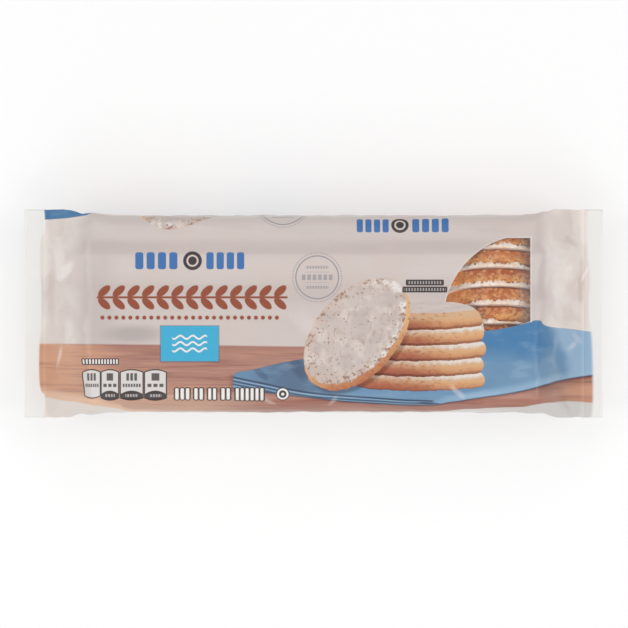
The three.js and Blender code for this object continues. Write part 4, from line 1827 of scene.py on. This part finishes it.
@dataclass
class FilmWrap:
    """The whole film: the printed tube, its clear window, the welded ends and the seam along the back."""

    tube: FilmTube = field(default_factory=FilmTube)
    window: WindowOutline = field(default_factory=WindowOutline)
    design: FilmPrint = field(default_factory=FilmPrint)
    patch_margin: int = 3  # mesh steps round the window that are cut anew with it
    clearance: float = 0.42  # mesh steps round its outline that hold no other vertex
    seal_overlap: float = 1.2  # how far the welded ends reach into the tube
    seal_thickness: float = 0.24  # of each half of a welded end
    gusset_thickness: float = 0.12  # more of the same where the tucked sides lie between
    seal_crimp: float = 0.008  # height of the crimps across the welded ends
    seal_crimp_pitch: float = 1.25
    seal_sway: float = 0.45  # how far a welded end's tip bends up and down
    seam_half_length: float = 104.0
    seam_edges: Point = (-7.5, 5.5)
    seam_level: float = 0.3
    seam_half_thickness: float = 0.1
    seam_crimp: float = 0.05
    seam_crimp_pitch: float = 2.4

    def build(self) -> None:
        """Builds and dresses every piece of film."""
        points, flat = self.tube.surface()
        rows, columns = points.shape[:2]
        outline = self.window.points()
        along, v = flat[:, 0, 0], flat[rows // 2, :, 1]
        i_low, i_high = np.searchsorted(along, [outline[:, 0].min(), outline[:, 0].max()])
        j_low, j_high = np.searchsorted(-v, [-outline[:, 1].max(), -outline[:, 1].min()])
        i_low, j_low = i_low - self.patch_margin, j_low - self.patch_margin
        i_high, j_high = i_high + self.patch_margin, j_high + self.patch_margin
        numbers = np.arange(rows * columns).reshape(rows, columns)
        quads = np.stack([numbers[:-1, :-1], numbers[:-1, 1:], numbers[1:, 1:], numbers[1:, :-1]], axis=-1)
        keep = np.ones(quads.shape[:2], dtype=bool)
        keep[i_low:i_high, j_low:j_high] = False
        row = np.interp(outline[:, 0], along, np.arange(rows))
        column = np.interp(-outline[:, 1], -v, np.arange(columns))
        steps = np.stack([row, column], axis=1)
        spots, triangles, inside = self.cut(steps, (i_low, i_high), (j_low, j_high))
        new_points = self.between(points, spots)
        new_flat = self.between(flat, spots)
        all_points = np.concatenate([points.reshape(-1, 3), new_points])
        all_flat = np.concatenate([flat.reshape(-1, 2), new_flat])
        shifted = triangles + rows * columns
        printed = [*quads[keep], *shifted[~inside]]
        finishes = self.design.materials()
        wrap = self.piece("printed_wrap", all_points, all_flat, printed, finishes[0], "film_wrap")
        self.dress(wrap, finishes)
        clear = ClearFilm().material()
        self.piece("window_pane", all_points, all_flat, shifted[inside], clear, "window_film")
        self.build_seals(finishes)
        self.build_back_seam()

    def cut(self, outline: Array, rows: Sequence[int], columns: Sequence[int]) -> tuple:
        """Cuts one rectangle of the mesh anew, so that the window's outline runs along its edges.

        Args:
            outline: The window's outline, in mesh steps.
            rows: The rectangle's first and last station.
            columns: The rectangle's first and last column.

        Returns:
            The new vertices in mesh steps, the triangles, and which of them are inside the window.
        """
        grid_rows, grid_columns = np.meshgrid(
            np.arange(rows[0], rows[1] + 1),
            np.arange(columns[0], columns[1] + 1),
            indexing="ij",
        )
        grid = np.stack([grid_rows.ravel(), grid_columns.ravel()], axis=1).astype(float)
        gaps = np.hypot(*(grid[:, None] - outline[None]).transpose(2, 0, 1))
        grid = grid[np.min(gaps, axis=1) >= self.clearance]
        start = len(grid)
        count = len(outline)
        ring = [(start + i, start + (i + 1) % count) for i in range(count)]
        vertices = [Vector(spot) for spot in np.concatenate([grid, outline]).tolist()]
        spots, _, faces, *_ = delaunay_2d_cdt(vertices, ring, [], 0, 1e-7)
        spots = np.array([tuple(spot) for spot in spots])
        triangles = np.array([face[::-1] for face in faces])
        middles = spots[triangles].mean(axis=1)
        return spots, triangles, WindowOutline.holds(outline, middles)

    @staticmethod
    def between(grid: Array, spots: Array) -> Array:
        """Reads a grid between its points.

        Args:
            grid: Values as stations by points by however many each has.
            spots: Places in mesh steps.

        Returns:
            The values at the places.
        """
        whole = np.minimum(np.floor(spots + 1e-9).astype(int), np.array(grid.shape[:2]) - 2)
        part = (spots - whole)[:, :, None]
        i, j = whole.T
        low = grid[i, j] * (1 - part[:, 1]) + grid[i, j + 1] * part[:, 1]
        high = grid[i + 1, j] * (1 - part[:, 1]) + grid[i + 1, j + 1] * part[:, 1]
        return low * (1 - part[:, 0]) + high * part[:, 0]

    def piece(
        self,
        name: str,
        points: Array,
        flat: Array,
        faces: Sequence[Sequence[int]],
        material: Material,
        node: str,
    ) -> bpy.types.Object:
        """Adds one piece of film from shared points, welded where its parts meet.

        Args:
            name: The piece's name.
            points: All points of the film, in millimetres.
            flat: Their places on the flat film.
            faces: The points of each of this piece's faces.
            material: Its finish.
            node: The construction node that it replaces.

        Returns:
            The new piece.
        """
        used = np.unique(np.concatenate([np.asarray(face) for face in faces]))
        _, first, home = np.unique(np.round(points[used], 5), axis=0, return_index=True, return_inverse=True)
        renumber = np.full(len(points), -1)
        renumber[used] = home.ravel()
        kept = used[first]
        welded = [renumber[np.asarray(face)] for face in faces]
        whole = [face for face in welded if len(set(face.tolist())) == len(face)]
        made = add_mesh(name, points[kept] * MM, whole, material, [node])
        add_flat_map(made, flat[kept])
        return made

    def dress(self, piece: bpy.types.Object, finishes: Sequence[Material]) -> None:
        """Gives each face of a printed piece the finish of its part of the film.

        Args:
            piece: The piece, which has the first finish.
            finishes: The print's finishes.
        """
        mesh = piece.data
        for finish in finishes[1:]:
            mesh.materials.append(finish)
        spots = np.empty(2 * len(mesh.loops), dtype=np.float32)
        mesh.uv_layers[FilmTube.MAP].data.foreach_get("uv", spots)
        starts = np.empty(len(mesh.polygons), dtype=np.int32)
        mesh.polygons.foreach_get("loop_start", starts)
        x, v = (spots.reshape(-1, 2)[starts].T - 0.5) * Sheet.SPAN
        mesh.polygons.foreach_set("material_index", self.design.regions(x, v).astype(np.int32))
        mesh.update()

    def build_seals(self, finishes: Sequence[Material]) -> None:
        """Builds the two welded ends: flat strips with fine crimps across them.

        Args:
            finishes: The print's finishes.
        """
        tube = self.tube
        inner, outer = tube.seal_line - self.seal_overlap, tube.half_length
        x = np.linspace(inner, outer, 72)
        y = np.linspace(-tube.half_seal, tube.half_seal, 97)
        gx, gy = np.meshgrid(x, y, indexing="ij")
        welded = smooth(gx, inner + 1.0, inner + 2.4)
        crimp = self.seal_crimp * np.sin(2 * np.pi * gx / self.seal_crimp_pitch) * welded
        sway = self.seal_sway * np.sin(gy / 17.0 + 0.8) * smooth(gx, inner, outer)
        folded = tube.half_seal - tube.gusset_depth
        thick = self.seal_thickness + self.gusset_thickness * smooth(np.abs(gy), folded - 0.5, folded + 1.0)
        thick = thick * (1 - 0.6 * smooth(gx, outer - 0.5, outer))
        for side, name in ((-1, "end_seal_left"), (1, "end_seal_right")):
            middle = tube.seal_level + sway * side + crimp
            top = np.stack([gx * side, gy, middle + thick], axis=-1).reshape(-1, 3)
            under = np.stack([gx * side, gy, middle - thick], axis=-1).reshape(-1, 3)
            faces = self.slab_faces(*gx.shape, flip=side < 0)
            points = np.concatenate([top, under])
            made = add_mesh(name, points * MM, faces, finishes[0])
            behind = np.stack([under[:, 0], np.abs(under[:, 1]) - 2 * tube.half_seal], axis=1)
            add_flat_map(made, np.concatenate([top[:, :2], behind]))
            self.dress(made, finishes)

    @staticmethod
    def slab_faces(rows: int, columns: int, flip: bool) -> list[tuple[int, ...]]:
        """Numbers the faces of a closed slab whose top and underside are grids of points.

        Args:
            rows: The grids' rows.
            columns: The grids' columns.
            flip: Whether the faces are turned over, for a slab that is mirrored.

        Returns:
            The points of each face, with the underside's points after the top's.
        """
        numbers = np.arange(rows * columns).reshape(rows, columns)
        top = np.stack([numbers[:-1, :-1], numbers[1:, :-1], numbers[1:, 1:], numbers[:-1, 1:]], axis=-1)
        top = top.reshape(-1, 4)
        under = top[:, ::-1] + rows * columns
        rim = np.concatenate([numbers[:, 0], numbers[-1, 1:], numbers[-2::-1, -1], numbers[0, -2:0:-1]])
        ahead = np.roll(rim, -1)
        walls = np.stack([rim, rim + rows * columns, ahead + rows * columns, ahead], axis=1)
        faces = np.concatenate([top, under, walls])
        return [tuple(face[::-1]) if flip else tuple(face) for face in faces.tolist()]

    def build_back_seam(self) -> None:
        """Builds the fin seam that lies flat along the middle of the back."""
        x = np.linspace(-self.seam_half_length, self.seam_half_length, 260)
        y = np.linspace(*self.seam_edges, 14)
        gx, gy = np.meshgrid(x, y, indexing="ij")
        edge = self.seam_edges[1]
        crimp = self.seam_crimp * np.sin(2 * np.pi * gx / self.seam_crimp_pitch)
        crimp = crimp * smooth(gy, 0, 1) * smooth(gy, edge, edge - 1.0)
        level = self.seam_level + crimp + 0.05 * np.sin(gx / 21.0)
        top = np.stack([gx, gy, level + self.seam_half_thickness], axis=-1).reshape(-1, 3)
        under = np.stack([gx, gy, level - self.seam_half_thickness], axis=-1).reshape(-1, 3)
        points = np.concatenate([top, under])
        faces = self.slab_faces(*gx.shape, flip=False)
        add_mesh("back_seam", points * MM, faces, SeamFilm().material())


# ---- Cookies ----


@dataclass(frozen=True)
class Coverage:
    """Where one cookie's icing laps over its rim, seen from above."""

    start: float  # places along the pack between which it laps over fully
    end: float
    lap: float = 2.3
    bare_lap: float = 1.15  # the lap elsewhere
    fade: float = 5.0  # the distance over which it goes from one to the other

    def reach(self, x: Array) -> Array:
        """Returns the mean lap at x."""
        iced = smooth(x, self.start - self.fade, self.start) * smooth(x, self.end + self.fade, self.end)
        return self.bare_lap + (self.lap - self.bare_lap) * iced


@dataclass
class IcedCookie:
    """One cookie that stands on edge behind the window, leaning towards +Y: a biscuit and its icing."""

    number: int
    coverage: Coverage
    radius: float = 26.6
    biscuit: float = 6.1  # thicknesses of the two parts, with the gap between the plain solids
    icing: float = 1.5
    gap: float = 0.3
    swollen: float = 0.42  # how much further back each biscuit reaches than its plain solid
    shift: float = 0.5  # how far each stands nearer to the upper edge than its plain solid
    lean: float = 14.0
    round_steps: int = 340
    flakes: int = 220
    flake_size: Point = (1.1, 0.7)  # reach of an oat flake round the rim, and across it
    outline_depth: float = 0.016  # how far an outline's hollows go in, as a share of the radius
    pole: float = 1.5  # radius of the small flat cap in the middle of each face
    face_rim: float = 1.3  # rounding of the biscuit's rim by the icing, and by its bare back
    back_rim: float = 0.7
    icing_inset: float = 0.2  # how much smaller the icing's face is than the biscuit
    icing_rim: float = 0.45
    icing_skin: float = 1.4  # thickness of the icing over the face
    unlit: Point = (-6.0, -25.0)  # from the cookies' middle, where the finishes' painted glow begins and where it is full

    @property
    def front(self) -> float:
        """Returns the y of the icing's face."""
        return -(self.biscuit + self.gap + self.icing) / 2

    @property
    def face(self) -> float:
        """Returns the y of the biscuit's face, under the icing."""
        return (self.biscuit + self.gap + self.icing) / 2 - self.biscuit

    @property
    def back(self) -> float:
        """Returns the y of the biscuit's bare back."""
        return (self.biscuit + self.gap + self.icing) / 2 + self.swollen

    def middle(self) -> Array:
        """Returns the cookie's middle, in millimetres, from its solids in the construction model."""
        corners = [np.array(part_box(f"{part}_{self.number}")) / MM for part in ("biscuit", "icing")]
        return (np.minimum(corners[0][0], corners[1][0]) + np.maximum(corners[0][1], corners[1][1])) / 2

    def placed(self, local: Array) -> Array:
        """Stands the cookie's points in the row.

        Args:
            local: Points about its middle, in millimetres, with its axis along y.

        Returns:
            The points where the cookie stands, in metres.
        """
        turn = math.radians(-self.lean)
        y = local[..., 1] * math.cos(turn) - local[..., 2] * math.sin(turn)
        z = local[..., 1] * math.sin(turn) + local[..., 2] * math.cos(turn)
        return (np.stack([local[..., 0], y + self.shift, z], axis=-1) + self.middle()) * MM

    def turns(self) -> Array:
        """Returns the angles round the cookie's axis at which its points stand, from its highest point."""
        return np.linspace(0, 2 * np.pi, self.round_steps, endpoint=False)

    def wheel(self, profile: Array) -> tuple[Array, list[tuple[int, ...]]]:
        """Turns profiles about the cookie's axis, within its uneven outline.

        Args:
            profile: Radius and y of each profile point: turns by points by 2, or points by 2.

        Returns:
            The points as turns by points by 3, and the faces, with both poles closed.
        """
        profile = np.broadcast_to(profile, (self.round_steps, *profile.shape[-2:]))
        reach = profile[..., 0] * self.swell()[:, None]
        turn = self.turns()[:, None]
        points = np.stack([reach * np.sin(turn), profile[..., 1], reach * np.cos(turn)], axis=-1)
        numbers = np.arange(points.shape[0] * points.shape[1]).reshape(points.shape[:2])
        ahead = np.roll(numbers, -1, axis=0)
        quads = np.stack([numbers[:, :-1], ahead[:, :-1], ahead[:, 1:], numbers[:, 1:]], axis=-1)
        caps = [tuple(numbers[::-1, 0]), tuple(numbers[:, -1])]
        return points, [*map(tuple, quads.reshape(-1, 4).tolist()), *caps]

    def swell(self) -> Array:
        """Draws the cookie's uneven outline.

        Returns:
            What each turn's radius is multiplied by, at most 1.
        """
        rng = np.random.default_rng(100 + self.number)
        total = np.zeros(self.round_steps)
        for waves_round in (2, 3, 5, 7, 11, 17):
            total += np.sin(waves_round * self.turns() + rng.uniform(0, 6.28)) / math.sqrt(waves_round)
        return 1 - self.outline_depth * (0.5 + 0.25 * total)

    def build_biscuit(self, material: Material) -> None:
        """Builds the baked biscuit with a cracked, flaky rim.

        Args:
            material: The biscuits' finish.
        """
        points, faces = self.wheel(self.biscuit_profile())
        flat = points.reshape(-1, 3)
        lumps = np.array([self.roughness(spot + 40 * self.number) for spot in flat])
        spots = self.scatter()
        gaps = np.linalg.norm(flat[:, None, ::2] - spots[None, :, ::2], axis=2)
        rises = np.abs(flat[:, None, 1] - spots[None, :, 1])
        flake = np.exp(-((gaps / self.flake_size[0]) ** 4) - (rises / self.flake_size[1]) ** 4).max(axis=1)
        rise = (flat[:, 1] - self.face) / (self.back - self.face)
        belly = np.sin(np.pi * np.clip(rise, 0, 1))
        relief = 0.45 * lumps[:, 0] + 0.3 * lumps[:, 1] + 0.22 * flake + 0.35 * belly - 0.45
        moved = flat + self.outward(flat) * relief[:, None]
        name, node = f"baked_biscuit_{self.number}", f"biscuit_{self.number}"
        made = add_mesh(name, self.placed(moved), faces, material, [node])
        add_numbers(made, "flake", flake)
        # The mask for the biscuit finish's painted glow: the side that curves away deep under the film.
        add_numbers(made, "hollow", smooth(flat[:, 0], *self.unlit))
        broad = np.array([noise.noise(Vector(spot + 60 * self.number) * 0.11) for spot in flat])
        toast = smooth(rise, 0.35, 0.95) * 0.75 - 0.8 * lumps[:, 0] + 0.9 * broad
        add_numbers(made, "toast", np.clip(toast, 0, 1))
        # How dark the rim is along its very back edge, where each cookie meets the next.
        add_numbers(made, "dark_back_edge", np.clip(smooth(rise, 0.82, 1.0) * (1.0 + 1.5 * lumps[:, 0]), 0, 1))
        add_numbers(made, "gold", smooth(rise, 0.7, 0.25) * np.clip(0.65 + lumps[:, 0] - broad, 0, 1))

    def biscuit_profile(self) -> Array:
        """Draws half a cross-section of the biscuit.

        Returns:
            Radius and y of each point, from the middle of the face round the rim to the middle of the back.
        """
        bend = np.linspace(0, np.pi / 2, 7)
        face_run = np.linspace(self.pole, self.radius - self.face_rim, 9)[:-1]
        back_run = np.linspace(self.radius - self.back_rim, self.pole, 9)[1:]
        rim = np.linspace(self.face + self.face_rim, self.back - self.back_rim, 13)[1:-1]
        sine, cosine = 1 - np.sin(bend), 1 - np.cos(bend)
        runs = (
            (face_run, np.full_like(face_run, self.face)),
            (self.radius - self.face_rim * sine, self.face + self.face_rim * cosine),
            (np.full_like(rim, self.radius), rim),
            (self.radius - self.back_rim * cosine, self.back - self.back_rim * sine),
            (back_run, np.full_like(back_run, self.back)),
        )
        return np.concatenate([np.stack(run, axis=1) for run in runs])

    @staticmethod
    def outward(points: Array) -> Array:
        """Returns the direction away from the cookie's axis at each point."""
        away = points * (1, 0, 1)
        return away / np.maximum(np.linalg.norm(away, axis=1, keepdims=True), 1e-6)

    @staticmethod
    def roughness(spot: Array) -> tuple[float, float]:
        """Returns coarse and fine unevenness at a point, each from about -1 to 1."""
        place = Vector(spot)
        return noise.noise(place * 0.34), noise.turbulence(place * 0.8, 3, False) - 0.5

    def scatter(self) -> Array:
        """Scatters the oat flakes round the biscuit's rim.

        Returns:
            The middle of each flake.
        """
        rng = np.random.default_rng(200 + self.number)
        turns = rng.uniform(0, 2 * np.pi, self.flakes)
        rise = rng.uniform(self.face + 0.8, self.back - 0.6, self.flakes)
        return np.stack([self.radius * np.sin(turns), rise, self.radius * np.cos(turns)], axis=1)

    def build_icing(self, material: Material) -> None:
        """Builds the icing: a skin over the cookie's face that laps unevenly over the rim.

        Args:
            material: The icing's finish.
        """
        rng = np.random.default_rng(300 + self.number)
        turns = self.turns()
        drips = np.zeros_like(turns)
        for waves_round in (7, 12, 19, 29, 38, 53, 67, 89):
            drips += rng.uniform(0.3, 1.0) * np.sin(waves_round * turns + rng.uniform(0, 6.28))
        mean = self.coverage.reach(self.middle()[0] + self.radius * np.sin(turns))
        lap = mean * (1 + 0.17 * np.clip(drips, -2.2, 2.4))
        profile = np.stack([self.icing_profile(reach) for reach in lap])
        points, faces = self.wheel(profile)
        flat = points.reshape(-1, 3)
        lumps = np.array([self.roughness(spot * 1.6 + 25 * self.number)[0] for spot in flat])
        moved = flat + self.outward(flat) * (0.2 * lumps)[:, None]
        name, node = f"sugar_icing_{self.number}", f"icing_{self.number}"
        made = add_mesh(name, self.placed(moved), faces, material, [node])
        # The mask for the icing finish's painted glow, as for the biscuit.
        add_numbers(made, "hollow", smooth(flat[:, 0], *self.unlit))
        rise = (flat[:, 1] - self.front) / np.repeat(lap, profile.shape[1])
        more = np.repeat(mean, profile.shape[1]) - self.coverage.bare_lap
        bare = 1 - more / (self.coverage.lap - self.coverage.bare_lap)
        add_numbers(made, "thin", np.clip(smooth(rise, 0.5, 1.1) * (0.5 - lumps) + bare * 0.8, 0, 1))

    def icing_profile(self, reach: float) -> Array:
        """Draws half a cross-section of the icing.

        Args:
            reach: How far it laps over the rim there.

        Returns:
            Radius and y of each point, from the middle of its face over the rim and back inside it.
        """
        outer = self.radius - self.icing_inset
        bend = np.linspace(0, np.pi / 2, 6)
        run = np.linspace(self.pole, outer - self.icing_rim, 10)[:-1]
        face = np.stack([run, np.full_like(run, self.front)], axis=1)
        rim = (outer - self.icing_rim * (1 - np.sin(bend)), self.front + self.icing_rim * (1 - np.cos(bend)))
        edge = np.stack(rim, axis=1)
        down = np.linspace(0, 1, 7)[1:, None]
        tongue_end = np.array([outer - 0.5, self.front + max(reach, self.icing_rim + 0.2)])
        tongue = edge[-1] + (tongue_end - edge[-1]) * down
        tongue[:, 0] += 0.3 * np.sin(np.pi * down[:, 0])
        inner = outer - self.icing_skin
        level = self.front + self.icing_skin
        inside = np.array([[inner, tongue_end[1] - 0.1], [inner, level], [self.pole, level]])
        return np.concatenate([face, edge, tongue, inside])


@dataclass
class CookieRow:
    """The row of six iced cookies behind the window."""

    coverages: tuple[Coverage, ...] = (
        Coverage(82, 101),
        Coverage(70, 94),
        Coverage(64, 98),
        Coverage(75, 99, lap=2.5),
        Coverage(79, 83, lap=2.2),
        Coverage(60, 70),
    )

    def build(self) -> None:
        """Builds and dresses every cookie."""
        baked = BakedBiscuit().material()
        iced = SugarIcing().material()
        for number, coverage in enumerate(self.coverages, 1):
            cookie = IcedCookie(number, coverage)
            cookie.build_biscuit(baked)
            cookie.build_icing(iced)


# ---- Studio ----


@dataclass
class Softbox:
    """A large soft light that faces the pack."""

    name: str
    place: tuple[float, float, float]
    size: float
    power: float

    def build(self) -> None:
        """Adds the light, turned towards the pack and unseen by the camera."""
        light = bpy.data.lights.new(self.name, "AREA")
        light.shape = "SQUARE"
        light.size = self.size
        light.energy = self.power
        lamp = bpy.data.objects.new(self.name, light)
        lamp.location = self.place
        lamp.rotation_euler = (-Vector(self.place)).to_track_quat("-Z", "Y").to_euler()
        lamp.visible_camera = False
        bpy.context.scene.collection.objects.link(lamp)


@dataclass
class Studio:
    """The pale floor, the soft light and the camera that looks straight down on the pack."""

    lens: float = 500.0  # in millimetres, as is the sensor's width
    sensor: float = 36.0
    sharp_level: float = 0.045  # height at which the photo's scale holds
    sky: float = 0.42  # strength of the even light from all round
    floor_reach: float = 6.0
    softboxes: tuple[Softbox, ...] = (
        Softbox("left_softbox", (-1.03, 0.0, 1.23), 0.9, 6.6),
        Softbox("right_softbox", (1.03, 0.0, 1.23), 0.9, 6.6),
        Softbox("lower_softbox", (0.0, -0.9, 1.32), 0.9, 4.9),
        Softbox("upper_softbox", (0.0, 0.85, 1.36), 0.9, 3.6),
    )

    def build(self) -> None:
        """Builds the whole studio."""
        self.build_camera()
        self.build_floor()
        for softbox in self.softboxes:
            softbox.build()
        world = bpy.data.worlds.new("studio")
        world.use_nodes = True
        world.node_tree.nodes["Background"].inputs[0].default_value = (1, 1, 1, 1)
        world.node_tree.nodes["Background"].inputs[1].default_value = self.sky
        bpy.context.scene.world = world
        bpy.context.scene.view_settings.view_transform = "Standard"

    def build_camera(self) -> None:
        """Adds a long lens straight above, so that the front fills the picture as in the photograph."""
        frame_width = PHOTO_PIXELS * MM_PER_PIXEL * MM
        data = bpy.data.cameras.new("camera")
        data.lens = self.lens
        data.sensor_width = self.sensor
        data.clip_end = 50.0
        camera = bpy.data.objects.new("camera", data)
        middle = PHOTO_PIXELS / 2
        x = (middle - PHOTO_CENTRE[0]) * MM_PER_PIXEL * MM
        y = (PHOTO_CENTRE[1] - middle) * MM_PER_PIXEL * MM
        camera.location = (x, y, self.sharp_level + frame_width * self.lens / self.sensor)
        bpy.context.scene.collection.objects.link(camera)
        bpy.context.scene.camera = camera

    def build_floor(self) -> None:
        """Adds the floor that the pack lies on."""
        mesh = bpy.data.meshes.new("floor")
        reach = self.floor_reach
        corners = [(-reach, -reach, 0), (reach, -reach, 0), (reach, reach, 0), (-reach, reach, 0)]
        mesh.from_pydata(corners, [], [(0, 1, 2, 3)])
        mesh.materials.append(StudioFloor().material())
        floor = bpy.data.objects.new("floor", mesh)
        bpy.context.scene.collection.objects.link(floor)
        floor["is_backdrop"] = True


def write_sizes() -> None:
    """Works out the construction model's box and the visual model's box, and keeps neither."""
    boxes = {"cad": CAD_BOX, "visual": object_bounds()}
    {name: [list(corner) for corner in box] for name, box in boxes.items()}


def main() -> None:
    """Builds the pack and the studio."""
    logging.basicConfig(level=logging.INFO, format="%(name)s %(message)s")
    Studio().build()
    LOG.info("studio ready")
    FilmWrap().build()
    LOG.info("film ready")
    CookieRow().build()
    LOG.info("cookies ready")
    write_sizes()


if __name__ == "__main__":
    main()
